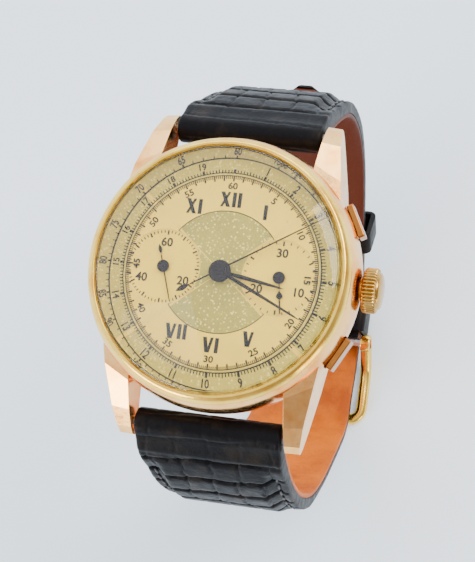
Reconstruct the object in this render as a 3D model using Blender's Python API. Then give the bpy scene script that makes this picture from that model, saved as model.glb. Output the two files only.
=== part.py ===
"""Two-register chronograph wristwatch on a buckled leather strap.

Frame: +Z up out of the dial, +X towards 3 o'clock, +Y towards 12 o'clock.
The origin is the centre of the case back's outer face. Lengths below are in
millimetres. The watch head is measured from the centre of the dial's top face;
the strap and buckle are measured up from the surface that the buckled strap
stands on, and those measures are called heights.
"""
from math import atan2, cos, degrees, hypot, pi, radians, sin

import bmesh
import bpy
from mathutils import Matrix, Vector

MM = 0.001
WELD = 0.0001

# ---------------------------------------------------------------- driving sizes
DIAL_HEIGHT = 70.4          # dial above the resting surface
CASE_R = 18.5               # widest radius of the case band
BEZEL_R = 17.7
BORE_R = 16.0               # inside of the case band
DIAL_R = 16.5
LUG_GAP = 21.0              # between the inner faces of a pair of lugs
LUG_TIP_Y = 22.2
BAR_Y, BAR_Z = 20.4, -5.6   # spring bars
BACK_Z = -9.2               # outer face of the case back
HEAD_BASE = -BACK_Z         # the dial above the origin
STRAP_BASE = HEAD_BASE - DIAL_HEIGHT
STEM_Z = -2.5               # height of the winding stem and pushers
SUB_X, SUB_R = 7.85, 5.05   # the two registers
CROWN_R = 3.0
PUSHER_ANGLE = 28.0         # degrees above and below 3 o'clock
MOVEMENT_R = 14.2

# strap, in heights above the resting surface
STRAP_LUG_HALF = 10.1       # half width at the lugs
STRAP_END_HALF = 8.0        # half width at the buckle
TAPER_LENGTH = 72.0
LINING = 0.65
TAIL_LEATHER = 1.2
BUCKLE_BAR = (0.9, 5.0)     # (y, height)
BUCKLE_FRONT_Y = -11.7

# levels of the movement (dial side first)
PLATE = (-3.4, -1.65)
CENTRE_WHEEL = (-3.8, -3.55)
ESCAPE = (-4.4, -4.15)
THIRD_WHEEL = (-4.9, -4.7)
FOURTH_WHEEL = (-5.25, -5.05)
BARREL = (-5.4, -3.95)
BALANCE = (-5.7, -5.35)
BRIDGE = (-6.3, -5.68)
RATCHET = (-6.75, -6.4)
CHRONO = (-7.3, -7.05)
LEVER = (-7.7, -7.45)
CHRONO_BRIDGE = (-8.25, -7.85)

# places of the arbors
BARREL_AT = (2.86, 4.95)
THIRD_AT = (-4.1, -2.95)
FOURTH_AT = (-SUB_X, 0.0)
ESCAPE_AT = (-8.9, -3.76)
PALLET_AT = (-6.6, -6.2)
BALANCE_AT = (-3.3, -9.0)
COCK_FOOT_AT = (-8.9, -9.6)
MINUTE_WHEEL_AT = (-1.55, 2.63)
CROWN_WHEEL_AT = (9.05, 2.2)
RECORDER_AT = (SUB_X, 0.0)
COUPLING_AT = (-4.66, 0.45)
INTERMEDIATE_AT = (4.43, 0.0)
OPERATING_PIVOT = (5.9, 11.1)
HAMMER_PIVOT = (6.6, -9.6)
CAM_AT = (10.9, 4.6)
SETTING_PIVOT = (11.6, -3.4)
CLICK_AT = (-3.1, 5.6)
DIAL_FEET = ((-8.0, 11.2), (5.5, -12.6))

for old in list(bpy.data.objects):
    bpy.data.objects.remove(old, do_unlink=True)


# ---------------------------------------------------------------- materials
def material(name, colour, roughness, metallic):
    mat = bpy.data.materials.new(name)
    mat.use_nodes = True
    shader = mat.node_tree.nodes["Principled BSDF"]
    shader.inputs["Base Color"].default_value = (*colour, 1.0)
    shader.inputs["Roughness"].default_value = roughness
    shader.inputs["Metallic"].default_value = metallic
    return mat


ROSE_GOLD = material("rose_gold", (0.80, 0.50, 0.34), 0.22, 1.0)
YELLOW_GOLD = material("yellow_gold", (0.85, 0.62, 0.28), 0.25, 1.0)
STEEL = material("polished_steel", (0.62, 0.62, 0.63), 0.25, 1.0)
BLUED = material("blued_steel", (0.03, 0.03, 0.05), 0.35, 1.0)
NICKEL = material("nickel_plate", (0.66, 0.63, 0.56), 0.32, 1.0)
BRASS = material("gilt_brass", (0.74, 0.56, 0.27), 0.3, 1.0)
DIAL_PAINT = material("champagne_dial", (0.72, 0.66, 0.42), 0.5, 0.0)
ACRYLIC = material("acrylic", (0.92, 0.92, 0.88), 0.05, 0.0)
LEATHER = material("black_leather", (0.02, 0.02, 0.022), 0.5, 0.0)
TAN = material("tan_lining", (0.45, 0.16, 0.05), 0.65, 0.0)


# ---------------------------------------------------------------- mesh helpers
def add(name, bm, mat, pivot=(0.0, 0.0, 0.0), on_strap=False):
    """Turn a mesh in millimetres into an object with its origin at the pivot."""
    bmesh.ops.remove_doubles(bm, verts=bm.verts[:], dist=WELD)
    bmesh.ops.recalc_face_normals(bm, faces=bm.faces[:])
    bmesh.ops.triangulate(bm, faces=bm.faces[:])
    if bm.calc_volume(signed=True) < 0:
        bmesh.ops.reverse_faces(bm, faces=bm.faces[:])
    base = Vector((0, 0, STRAP_BASE if on_strap else HEAD_BASE))
    bmesh.ops.transform(bm, matrix=Matrix.Translation(-Vector(pivot)), verts=bm.verts[:])
    bmesh.ops.scale(bm, vec=(MM, MM, MM), verts=bm.verts[:])
    mesh = bpy.data.meshes.new(name)
    bm.to_mesh(mesh)
    bm.free()
    mesh.materials.append(mat)
    obj = bpy.data.objects.new(name, mesh)
    bpy.context.collection.objects.link(obj)
    obj.location = (Vector(pivot) + base) * MM
    mesh.shade_smooth()
    mesh.set_sharp_from_angle(angle=radians(32))
    return obj


def combine(obj, unite=(), cut=()):
    """Boolean the tools into the object one by one, and drop them."""
    mat = obj.data.materials[0]
    for operation, tool in [("UNION", tool) for tool in unite] + [("DIFFERENCE", tool) for tool in cut]:
        mod = obj.modifiers.new(operation.lower(), "BOOLEAN")
        mod.operation = operation
        mod.solver = "EXACT"
        mod.object = tool
        bpy.context.view_layer.update()
        result = bpy.data.meshes.new_from_object(obj.evaluated_get(bpy.context.evaluated_depsgraph_get()))
        obj.modifiers.clear()
        clean(result)
        result.materials.clear()
        result.materials.append(mat)
        obj.data = result
        bpy.data.objects.remove(tool, do_unlink=True)
    return obj


def clean(mesh):
    """Weld the solver's hairline edges and merge the flat faces that it split."""
    bm = bmesh.new()
    bm.from_mesh(mesh)
    bmesh.ops.remove_doubles(bm, verts=bm.verts[:], dist=WELD * MM)
    bmesh.ops.dissolve_limit(bm, angle_limit=radians(0.2), verts=bm.verts[:], edges=bm.edges[:])
    bmesh.ops.triangulate(bm, faces=bm.faces[:])
    bm.to_mesh(mesh)
    bm.free()


def turned_mesh(profile, steps, axis="Z", at=(0.0, 0.0, 0.0)):
    """Spin a closed (radius, height) profile round the axis that passes through `at`."""
    bm = bmesh.new()
    ring = [bm.verts.new((r, 0, h)) for r, h in profile]
    edges = [bm.edges.new((ring[i - 1], ring[i])) for i in range(len(ring))]
    axle = [e for e in edges if all(abs(v.co.x) < 1e-9 for v in e.verts)]
    bmesh.ops.delete(bm, geom=axle, context="EDGES")
    geom = [v for v in bm.verts] + [e for e in bm.edges]
    bmesh.ops.spin(bm, geom=geom, cent=(0, 0, 0), axis=(0, 0, 1), angle=2 * pi,
                   steps=steps, use_merge=True)
    bmesh.ops.remove_doubles(bm, verts=bm.verts[:], dist=WELD)
    turn = {"Z": Matrix.Identity(4), "X": Matrix.Rotation(pi / 2, 4, "Y"),
            "Y": Matrix.Rotation(-pi / 2, 4, "X")}[axis]
    bmesh.ops.transform(bm, matrix=Matrix.Translation(Vector(at)) @ turn, verts=bm.verts[:])
    return bm


def turned(name, profile, mat, steps=24, axis="Z", at=(0.0, 0.0, 0.0), pivot=None):
    return add(name, turned_mesh(profile, steps, axis, at), mat, at if pivot is None else pivot)


def rod_mesh(radius, low, high, steps=16, axis="Z", at=(0.0, 0.0, 0.0)):
    return turned_mesh([(0, low), (radius, low), (radius, high), (0, high)], steps, axis, at)


def rod(name, radius, low, high, mat=STEEL, steps=16, axis="Z", at=(0.0, 0.0, 0.0), pivot=None):
    return add(name, rod_mesh(radius, low, high, steps, axis, at), mat, at if pivot is None else pivot)


def extruded_mesh(outline, low, high, holes=()):
    """A flat plate: an outline and its holes as (x, y) loops, between two heights."""
    bm = bmesh.new()
    edges = []
    for loop in [outline, *holes]:
        verts = [bm.verts.new((x, y, low)) for x, y in loop]
        edges += [bm.edges.new((verts[i - 1], verts[i])) for i in range(len(verts))]
    bmesh.ops.triangle_fill(bm, edges=edges, use_beauty=True, normal=(0, 0, 1))
    top = bmesh.ops.extrude_face_region(bm, geom=bm.faces[:], use_keep_orig=True)
    raised = [v for v in top["geom"] if isinstance(v, bmesh.types.BMVert)]
    bmesh.ops.translate(bm, vec=(0, 0, high - low), verts=raised)
    return bm


def box_mesh(low, high):
    outline = [(low[0], low[1]), (high[0], low[1]), (high[0], high[1]), (low[0], high[1])]
    return extruded_mesh(outline, low[2], high[2])


def box_tool(low, high, angle=0.0, on_strap=False):
    """A box cutter or block, turned about the dial's centre by an angle in degrees."""
    bm = box_mesh(low, high)
    bmesh.ops.rotate(bm, matrix=Matrix.Rotation(radians(angle), 3, "Z"), cent=(0, 0, 0), verts=bm.verts[:])
    return add("tool", bm, STEEL, on_strap=on_strap)


def circle(at, radius, count, start=0.0):
    return [(at[0] + radius * cos(start + 2 * pi * i / count),
             at[1] + radius * sin(start + 2 * pi * i / count)) for i in range(count)]


def teeth(at, count, tip, root):
    """A pointed-tooth gear outline."""
    points = []
    for i in range(2 * count):
        radius = tip if i % 2 == 0 else root
        angle = pi * i / count
        points.append((at[0] + radius * cos(angle), at[1] + radius * sin(angle)))
    return points


def windows(at, inner, outer, count, rib):
    """Spoke windows of a wheel: ring sectors between `count` spokes."""
    loops = []
    for i in range(count):
        start = 2 * pi * i / count + rib / inner
        end = 2 * pi * (i + 1) / count - rib / inner
        start_out = 2 * pi * i / count + rib / outer
        end_out = 2 * pi * (i + 1) / count - rib / outer
        loop = [(at[0] + outer * cos(a), at[1] + outer * sin(a))
                for a in (start_out + (end_out - start_out) * k / 3 for k in range(4))]
        loop += [(at[0] + inner * cos(a), at[1] + inner * sin(a)) for a in (end, (start + end) / 2, start)]
        loops.append(loop)
    return loops


def hull(circles, count=10):
    """Outline of a belt stretched round some (x, y, r) circles."""
    points = sorted({(round(x, 5), round(y, 5)) for cx, cy, r in circles
                     for x, y in circle((cx, cy), r, count, pi / count)})

    def half(sequence):
        chain = []
        for p in sequence:
            while len(chain) > 1 and ((chain[-1][0] - chain[-2][0]) * (p[1] - chain[-2][1])
                                      <= (chain[-1][1] - chain[-2][1]) * (p[0] - chain[-2][0])):
                chain.pop()
            chain.append(p)
        return chain[:-1]

    return half(points) + half(points[::-1])


def wheel(name, at, levels, count, tip, mat, hub=0.5, spokes=4, rim=0.5, tooth=0.28, bore=0.0, pivot=None):
    """A toothed wheel with spokes; bore 0 leaves the hub closed for its arbor."""
    holes = windows(at, hub + 0.15, tip - tooth - rim, spokes, 0.16) if spokes else []
    if bore:
        holes = [circle(at, bore, 12), *holes]
    bm = extruded_mesh(teeth(at, count, tip, tip - tooth), *levels, holes)
    return add(name, bm, mat, pivot or (*at, 0.0))


def plate(name, circles, levels, mat, holes=(), feet=(), foot_top=PLATE[0] - 0.05):
    """A bridge: a hull-shaped plate with round holes, standing on pillars."""
    loops = [circle((x, y), r, 8) for x, y, r in holes]
    obj = add(name, extruded_mesh(hull(circles), *levels, loops), mat)
    pillars = [rod("tool", r, levels[1] - 0.1, foot_top, at=(x, y, 0)) for x, y, r in feet]
    return combine(obj, unite=pillars) if pillars else obj


def lobed(name, shapes, levels, mat, pivot=(0.0, 0.0, 0.0), holes=(), tools=()):
    """A flat lever made of several outlines, each a hair thinner than the one before."""
    step = 0.012
    body = add(name, extruded_mesh(shapes[0], *levels), mat, pivot)
    arms = [add("tool", extruded_mesh(shape, levels[0] + step * k, levels[1] - step * k), mat)
            for k, shape in enumerate(shapes[1:], 1)]
    bores = [rod("tool", r, levels[0] - 1, levels[1] + 1, steps=12, at=(x, y, 0)) for x, y, r in holes]
    return combine(body, unite=[*arms, *tools], cut=bores)


def sweep_mesh(points, half_wide, half_high, up=Vector((0, 0, 1)), sides=4):
    """A bar of constant section along an open path; 4 sides give a flat strip."""
    bm = bmesh.new()
    path = [Vector(p) for p in points]
    rings = []
    for i, p in enumerate(path):
        ahead = (path[min(i + 1, len(path) - 1)] - path[max(i - 1, 0)]).normalized()
        side = ahead.cross(up).normalized()
        rise = side.cross(ahead).normalized()
        stretch = 1 / cos(pi / 4) if sides == 4 else 1.0
        ring = [p + side * half_wide * stretch * cos(2 * pi * (k + 0.5) / sides)
                + rise * half_high * stretch * sin(2 * pi * (k + 0.5) / sides) for k in range(sides)]
        rings.append([bm.verts.new(co) for co in ring])
    for a, b in zip(rings, rings[1:]):
        for k in range(sides):
            bm.faces.new((a[k - 1], a[k], b[k], b[k - 1]))
    bm.faces.new(rings[0])
    bm.faces.new(rings[-1][::-1])
    return bm


# ---------------------------------------------------------------- case
def case_middle():
    """Band, four lugs, and the holes for stem, pushers and spring bars."""
    top, bottom = 1.9, -7.2
    band = turned("case_middle", [
        (16.95, top), (17.55, top), (18.1, 0.9), (18.42, -0.8), (CASE_R, -2.5), (18.1, -4.7), (16.9, bottom),
        (BORE_R, bottom), (BORE_R, -0.5), (16.95, -0.5)], ROSE_GOLD, 40)
    lugs = [lug(sx, sy) for sx in (-1, 1) for sy in (-1, 1)]
    cuts = [rod("tool", 1.42, 15.0, 19.2, axis="X", at=(0, 0, STEM_Z))]
    for sign in (-1, 1):
        cuts.append(box_tool((15.0, -2.1, STEM_Z - 1.05), (18.0, 2.1, STEM_Z + 1.05), sign * PUSHER_ANGLE))
        cuts.append(box_tool((17.4, -2.5, STEM_Z - 1.3), (22.0, 2.5, STEM_Z + 1.35), sign * PUSHER_ANGLE))
        cuts.append(rod("tool", 0.5, -11.6, 11.6, axis="X", at=(0, sign * BAR_Y, BAR_Z)))
    return combine(band, unite=lugs, cut=cuts)


def lug(sx, sy):
    """One faceted lug, swept over stations from the band to the tip."""
    inner = LUG_GAP / 2
    stations = [  # y of inner side, y of outer side, outer x, top, bottom
        (13.9, 8.8, 15.0, 0.7, -6.0),
        (15.6, 13.6, 14.2, -0.1, -6.5),
        (19.2, 18.9, 13.1, -2.5, -7.1),
        (21.4, 21.3, 12.6, -4.6, -7.2),
        (LUG_TIP_Y, LUG_TIP_Y - 0.1, 12.4, -5.8, -6.9)]
    bm = bmesh.new()
    rings = []
    for y_in, y_out, x_out, top, bottom in stations:
        corners = [(inner, y_in, top), (x_out, y_out, top - 0.25), (x_out, y_out, bottom),
                   (inner, y_in, bottom)]
        rings.append([bm.verts.new((sx * x, sy * y, z)) for x, y, z in corners])
    for a, b in zip(rings, rings[1:]):
        for k in range(4):
            bm.faces.new((a[k - 1], a[k], b[k], b[k - 1]))
    bm.faces.new(rings[0])
    bm.faces.new(rings[-1])
    return add("tool", bm, ROSE_GOLD)


def case_shell_parts():
    turned("bezel", [(16.62, 3.0), (16.95, 3.05), (17.3, 2.75), (BEZEL_R, 2.2), (BEZEL_R, 1.95),
                     (16.62, 1.95)], YELLOW_GOLD, 36)
    crystal()
    turned("case_back", [(0, BACK_Z), (13.6, BACK_Z), (16.3, -8.4), (16.85, -7.25), (15.9, -7.25), (15.9, -6.85),
                         (15.3, -6.85), (15.3, -8.45), (0, -8.45)], ROSE_GOLD, 28)


def crystal():
    """Domed acrylic with an upright skirt, open underneath."""
    def dome(radius, height, apex, count=3):
        rise = apex - height
        sphere = (radius ** 2 + rise ** 2) / (2 * rise)
        limit = atan2(radius, sphere - rise)
        return [(sphere * sin(limit * k / count), apex - sphere + sphere * cos(limit * k / count))
                for k in range(count + 1)]
    outer = dome(16.0, 3.35, 5.0)
    inner = dome(15.75, 2.5, 4.1)
    turned("crystal", [*outer, (16.4, 3.0), (16.55, 2.6), (16.55, 0.15), (16.15, 0.15), (16.15, 1.9),
                       *inner[::-1]], ACRYLIC, 28)


def dial():
    """Dial with two sunk registers, a centre hole, register holes and feet."""
    disc = add("dial", extruded_mesh(circle((0, 0), DIAL_R, 36), -0.4, 0.0, [circle((0, 0), 1.25, 12)]),
               DIAL_PAINT)
    sinks = [rod("tool", SUB_R, -0.14, 0.3, steps=20, at=(sign * SUB_X, 0, 0)) for sign in (-1, 1)]
    holes = [rod("tool", 0.45, -0.9, 0.5, steps=10, at=(sign * SUB_X, 0, 0)) for sign in (-1, 1)]
    feet = [rod("tool", 0.35, -1.5, -0.3, steps=8, at=(x, y, 0)) for x, y in DIAL_FEET]
    return combine(disc, unite=feet, cut=[*sinks, *holes])


def crown_parts():
    """Crown with its stem, which turn and pull together, and the case tube."""
    ridges = 20
    x_in, x_out = 18.7, 20.7
    body = add("crown", extruded_mesh([(y, z) for y, z in teeth((0, 0), ridges, CROWN_R, CROWN_R - 0.22)],
                                      x_in, x_out), YELLOW_GOLD, (0, 0, 0))
    body.matrix_world = (Matrix.Translation(Vector((0, 0, HEAD_BASE + STEM_Z)) * MM)
                         @ Matrix.Rotation(pi / 2, 4, "Y"))
    cap = turned("tool", [(0, x_out - 0.3), (2.7, x_out - 0.3), (2.7, x_out + 0.05), (2.2, x_out + 0.4),
                          (0, x_out + 0.7)], YELLOW_GOLD, 16, "X", (0, 0, STEM_Z))
    recess = turned("tool", [(0, x_in - 0.5), (1.75, x_in - 0.5), (1.75, 19.85), (0, 19.85)],
                    YELLOW_GOLD, 12, "X", (0, 0, STEM_Z))
    combine(body, unite=[cap], cut=[recess])
    turned("crown_tube", [(0.85, 16.1), (1.35, 16.1), (1.35, 18.58), (1.6, 18.6), (1.6, 18.9), (0.85, 18.9)],
           YELLOW_GOLD, 12, "X", (0, 0, STEM_Z))
    turned("winding_stem", [(0, 8.45), (0.35, 8.45), (0.35, 8.65), (0.55, 8.7), (0.55, 11.0), (0.3, 11.05),
                            (0.3, 11.55), (0.55, 11.6), (0.55, 19.75), (0, 19.75)],
           STEEL, 12, "X", (0, 0, STEM_Z))
    turned("clutch_wheel", [(0.66, 8.75), (1.15, 8.75), (1.15, 8.95), (0.9, 9.0), (0.9, 9.2), (1.15, 9.25),
                            (1.15, 9.5), (0.66, 9.5)], STEEL, 8, "X", (0, 0, STEM_Z))
    pinion = add("winding_pinion", extruded_mesh(teeth((0, 0), 12, 1.25, 1.0), 9.6, 10.35,
                                                 [circle((0, 0), 0.66, 12)]), STEEL)
    pinion.matrix_world = (Matrix.Translation(Vector((0, 0, HEAD_BASE + STEM_Z)) * MM)
                           @ Matrix.Rotation(pi / 2, 4, "Y"))


def pusher(name, sign):
    """Rectangular button, its stem and its hooked inner end."""
    angle = sign * PUSHER_ANGLE
    head = box_tool((18.35, -2.35, STEM_Z - 1.15), (19.3, 2.35, STEM_Z + 1.2), angle)
    head.name = name
    head.data.materials[0] = ROSE_GOLD
    guide = box_tool((17.0, -1.95, STEM_Z - 0.9), (18.5, 1.95, STEM_Z + 0.9), angle)
    finger = box_tool((15.05, -0.45, STEM_Z - 0.45), (17.2, 0.45, STEM_Z + 0.45), angle)
    return combine(head, unite=[guide, finger])


# ---------------------------------------------------------------- hands
def hand(name, at, levels, tip, tail, clock, hub, bore, widths, mat=BLUED):
    """A flat hand: a tapering blade and a tail on a round hub, set to a clock angle."""
    base_half, tip_half, tail_half = widths
    turn = radians(90 - clock)
    blade = [(hub * 0.8, -base_half), (tip, -tip_half), (tip, tip_half), (hub * 0.8, base_half)]
    counter = [(-hub * 0.8, 0.12), (-tail * 0.55, tail_half), (-tail * 0.85, tail_half), (-tail, 0.05),
               (-tail, -0.05), (-tail * 0.85, -tail_half), (-tail * 0.55, -tail_half), (-hub * 0.8, -0.12)]

    def placed(points):
        return [(at[0] + x * cos(turn) - y * sin(turn), at[1] + x * sin(turn) + y * cos(turn))
                for x, y in points]

    shapes = [circle(at, hub, 20), placed(blade)]
    if tail:
        shapes.append(placed(counter))
    return lobed(name, shapes, levels, mat, (*at, 0.0), [(*at, bore)])


def hands():
    hand("hour_hand", (0, 0), (0.6, 0.8), 8.9, 0, 99.6, 1.5, 0.95, (0.35, 0.12, 0))
    hand("minute_hand", (0, 0), (1.0, 1.2), 12.7, 0, 115.0, 1.2, 0.62, (0.32, 0.1, 0))
    hand("chronograph_seconds_hand", (0, 0), (1.4, 1.6), 16.0, 6.25, 58.0, 1.0, 0.22, (0.16, 0.06, 0.42))
    hand("small_seconds_hand", FOURTH_AT, (0.1, 0.25), 4.7, 3.0, 161.6, 0.8, 0.2, (0.14, 0.06, 0.28))
    hand("minute_counter_hand", RECORDER_AT, (0.1, 0.25), 4.75, 1.6, 171.0, 0.8, 0.2, (0.16, 0.06, 0.25))


# ---------------------------------------------------------------- movement
def main_plate():
    ring_holes = [(0, 0, 0.95), (*FOURTH_AT, 0.35), (*RECORDER_AT, 0.35), *[(*foot, 0.5) for foot in DIAL_FEET]]
    seats = [(*THIRD_AT, 0.25), (*ESCAPE_AT, 0.25), (*PALLET_AT, 0.25), (*BALANCE_AT, 0.25), (*CROWN_WHEEL_AT, 0.45),
             (*BARREL_AT, 0.75), (*MINUTE_WHEEL_AT, 0.25)]
    channel = [(8.35, -1.4), (10.6, -1.4), (10.6, -1.1), (MOVEMENT_R + 0.1, -1.1), (MOVEMENT_R + 0.1, 1.1),
               (10.6, 1.1), (10.6, 1.4), (8.35, 1.4)]
    holes = [circle((x, y), r, 8) for x, y, r in ring_holes + seats]
    disc = add("mainplate", extruded_mesh(circle((0, 0), MOVEMENT_R, 28), *PLATE, holes), NICKEL)
    slot = add("tool", extruded_mesh(channel, PLATE[0] - 0.3, PLATE[1] + 0.3), NICKEL)
    notches = [box_tool((13.3, -1.6, PLATE[0] - 0.3), (15.0, 1.6, PLATE[1] + 0.3), sign * PUSHER_ANGLE)
               for sign in (-1, 1)]
    return combine(disc, cut=[slot, *notches])


def movement_ring():
    """Spacer ring that centres the movement in the case."""
    ring = turned("movement_ring", [(14.35, -0.65), (15.9, -0.65), (15.9, -6.7), (14.35, -6.7)], BRASS, 28)
    cuts = [rod("tool", 0.8, 14.0, 17.0, axis="X", at=(0, 0, STEM_Z), steps=12)]
    for sign in (-1, 1):
        cuts.append(box_tool((13.5, -1.6, -7.5), (15.25, 1.6, -1.4), sign * PUSHER_ANGLE))
        cuts.append(box_tool((13.5, -0.7, STEM_Z - 0.7), (17.0, 0.7, STEM_Z + 0.7), sign * PUSHER_ANGLE))
    return combine(ring, cut=cuts)


def motion_works():
    """Cannon pinion, minute wheel and hour wheel between dial and mainplate."""
    cannon = turned("cannon_pinion", [(0.28, 1.3), (0.58, 1.3), (0.58, -4.9), (0.28, -4.9)], STEEL, 10)
    leaves = add("tool", extruded_mesh(teeth((0, 0), 8, 0.88, 0.68), -1.5, -1.1,
                                       [circle((0, 0), 0.4, 8)]), STEEL)
    combine(cannon, unite=[leaves])
    centre = wheel("centre_wheel", (0, 0), CENTRE_WHEEL, 24, 4.4, BRASS, hub=0.9, bore=0.66)
    combine(centre, unite=[add("tool", extruded_mesh(teeth((0, 0), 8, 0.93, 0.78), -4.25, CENTRE_WHEEL[1] - 0.1,
                                                     [circle((0, 0), 0.66, 12)]), STEEL)])
    hour = turned("hour_wheel", [(0.66, 0.85), (0.9, 0.85), (0.9, -1.0), (0.66, -1.0)], BRASS, 12)
    disc = add("tool", extruded_mesh(teeth((0, 0), 20, 2.4, 2.15), -0.98, -0.75,
                                     [circle((0, 0), 0.75, 12)]), BRASS)
    combine(hour, unite=[disc])
    minute = wheel("minute_wheel", MINUTE_WHEEL_AT, (-1.5, -1.2), 16, 2.1, BRASS, spokes=0)
    pinion = add("tool", extruded_mesh(teeth(MINUTE_WHEEL_AT, 8, 0.6, 0.45), -1.3, -0.65), STEEL)
    post = rod("tool", 0.18, -2.4, -1.1, steps=8, at=(*MINUTE_WHEEL_AT, 0))
    combine(minute, unite=[pinion, post])


def barrel():
    """Going barrel: toothed drum, arbor and coiled mainspring."""
    at = (*BARREL_AT, 0.0)
    drum = turned("barrel_drum", [(0.95, -4.2), (4.1, -4.2), (4.1, BARREL[0]), (4.4, BARREL[0]),
                                  (4.4, BARREL[1]), (0.95, BARREL[1])], BRASS, 20, at=at)
    gear = add("tool", extruded_mesh(teeth(BARREL_AT, 24, 4.75, 4.5), -4.25, BARREL[1] - 0.02,
                                     [circle(BARREL_AT, 4.25, 20)]), BRASS)
    combine(drum, unite=[gear])
    turned("barrel_arbor", [(0, -3.0), (0.6, -3.0), (0.6, -3.9), (0.85, -3.9), (0.85, -5.3), (0.6, -5.35),
                            (0.6, -6.35), (0.35, -6.35), (0.35, -6.75), (0, -6.75)], STEEL, 12, at=at)
    turns, per_turn = 4, 9
    coil = []
    for i in range(turns * per_turn + 1):
        angle = 2 * pi * i / per_turn
        radius = 1.15 + (3.95 - 1.15) * i / (turns * per_turn)
        coil.append((at[0] + radius * cos(angle), at[1] + radius * sin(angle), -4.8))
    add("mainspring", sweep_mesh(coil, 0.08, 0.5), STEEL, at)


def winding_wheels():
    """Ratchet wheel, two-level crown wheel and click."""
    wheel("ratchet_wheel", BARREL_AT, RATCHET, 28, 4.5, STEEL, spokes=0, bore=0.42)
    crown_wheel = wheel("crown_wheel", CROWN_WHEEL_AT, RATCHET, 14, 2.17, STEEL, spokes=0)
    lower = add("tool", extruded_mesh(teeth(CROWN_WHEEL_AT, 16, 1.85, 1.6), -4.2, -3.87), STEEL)
    shaft = rod("tool", 0.35, RATCHET[0] + 0.1, -2.6, steps=10, at=(*CROWN_WHEEL_AT, 0))
    combine(crown_wheel, unite=[lower, shaft])
    click = add("click", extruded_mesh(hull([(*CLICK_AT, 0.55), (-1.95, 6.6, 0.2)]), *RATCHET), STEEL,
                (*CLICK_AT, 0))
    combine(click, unite=[rod("tool", 0.22, RATCHET[1] - 0.1, -6.0, steps=8, at=(*CLICK_AT, 0))])


def arbor_wheel(name, at, levels, count, tip, pinion, pivots, mat=BRASS):
    """A train wheel on an arbor with a pinion; pinion is (teeth, tip, low, high)."""
    body = wheel(name, at, levels, count, tip, mat)
    leaves, radius, low, high = pinion
    tools = [rod("tool", 0.17, *pivots, steps=8, at=(*at, 0))]
    if leaves:
        tools.append(add("tool", extruded_mesh(teeth(at, leaves, radius, radius * 0.72), low, high), STEEL))
    return combine(body, unite=tools)


def going_train():
    arbor_wheel("third_wheel", THIRD_AT, THIRD_WHEEL, 24, 4.15, (6, 0.6, -4.8, -3.5), (-6.1, -3.0))
    fourth = arbor_wheel("fourth_wheel", FOURTH_AT, FOURTH_WHEEL, 20, 3.35, (6, 0.52, -5.1, -4.55),
                         (-7.75, 0.27))
    combine(fourth, unite=[add("tool", extruded_mesh(teeth(FOURTH_AT, 16, 2.16, 1.9), *CHRONO), BRASS)])
    arbor_wheel("escape_wheel", ESCAPE_AT, ESCAPE, 15, 1.75, (5, 0.42, -5.35, -4.3), (-6.1, -3.0), STEEL)
    pallets()
    balance()


def pallets():
    """Pallet fork: two arms towards the escape wheel and a fork towards the balance."""
    px, py = PALLET_AT
    ex, ey = ESCAPE_AT
    bx, by = BALANCE_AT
    to_wheel = atan2(ey - py, ex - px)
    to_balance = atan2(by - py, bx - px)
    arms = []
    for side in (-1, 1):
        angle = to_wheel + side * radians(62)
        arms.append(hull([(px, py, 0.35), (px + 1.9 * cos(angle), py + 1.9 * sin(angle), 0.22)]))
    fork = hull([(px, py, 0.35), (px + 3.3 * cos(to_balance), py + 3.3 * sin(to_balance), 0.22)])
    axle = rod("tool", 0.16, -4.62, -3.0, steps=8, at=(px, py, 0))
    lobed("pallet_fork", [fork, *arms], ESCAPE, STEEL, (px, py, 0), tools=[axle])
    foot = (px - 1.3, py - 1.3)
    plate("pallet_bridge", [(px, py, 0.5), (*foot, 0.45)], (-4.65, -4.46), NICKEL, [(px, py, 0.24)],
          [(*foot, 0.35)])


def balance():
    """Balance with its staff, hairspring and cock."""
    bx, by = BALANCE_AT
    rim = extruded_mesh(circle(BALANCE_AT, 4.35, 24), *BALANCE, windows(BALANCE_AT, 0.7, 3.9, 2, 0.25))
    body = add("balance_wheel", rim, BRASS, (bx, by, 0))
    staff = turned("tool", [(0, -3.0), (0.16, -3.0), (0.16, -4.6), (0.55, -4.6), (0.55, -4.8), (0.22, -4.8),
                            (0.22, -5.4), (0.3, -5.5), (0.3, -5.75), (0.16, -5.8), (0.16, -6.6), (0, -6.6)],
                   STEEL, 12, at=(bx, by, 0))
    combine(body, unite=[staff])
    turns, per_turn = 3, 8
    coil = []
    for i in range(turns * per_turn + 1):
        angle = 2 * pi * i / per_turn
        radius = 0.55 + 2.2 * i / (turns * per_turn)
        coil.append((bx + radius * cos(angle), by + radius * sin(angle), -6.15))
    add("hairspring", sweep_mesh(coil, 0.05, 0.12), BLUED, (bx, by, 0))
    plate("balance_cock", [(bx, by, 1.3), (*COCK_FOOT_AT, 0.95)], (-7.0, -6.4), NICKEL, [(bx, by, 0.22)],
          [(*COCK_FOOT_AT, 0.75)])


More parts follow.
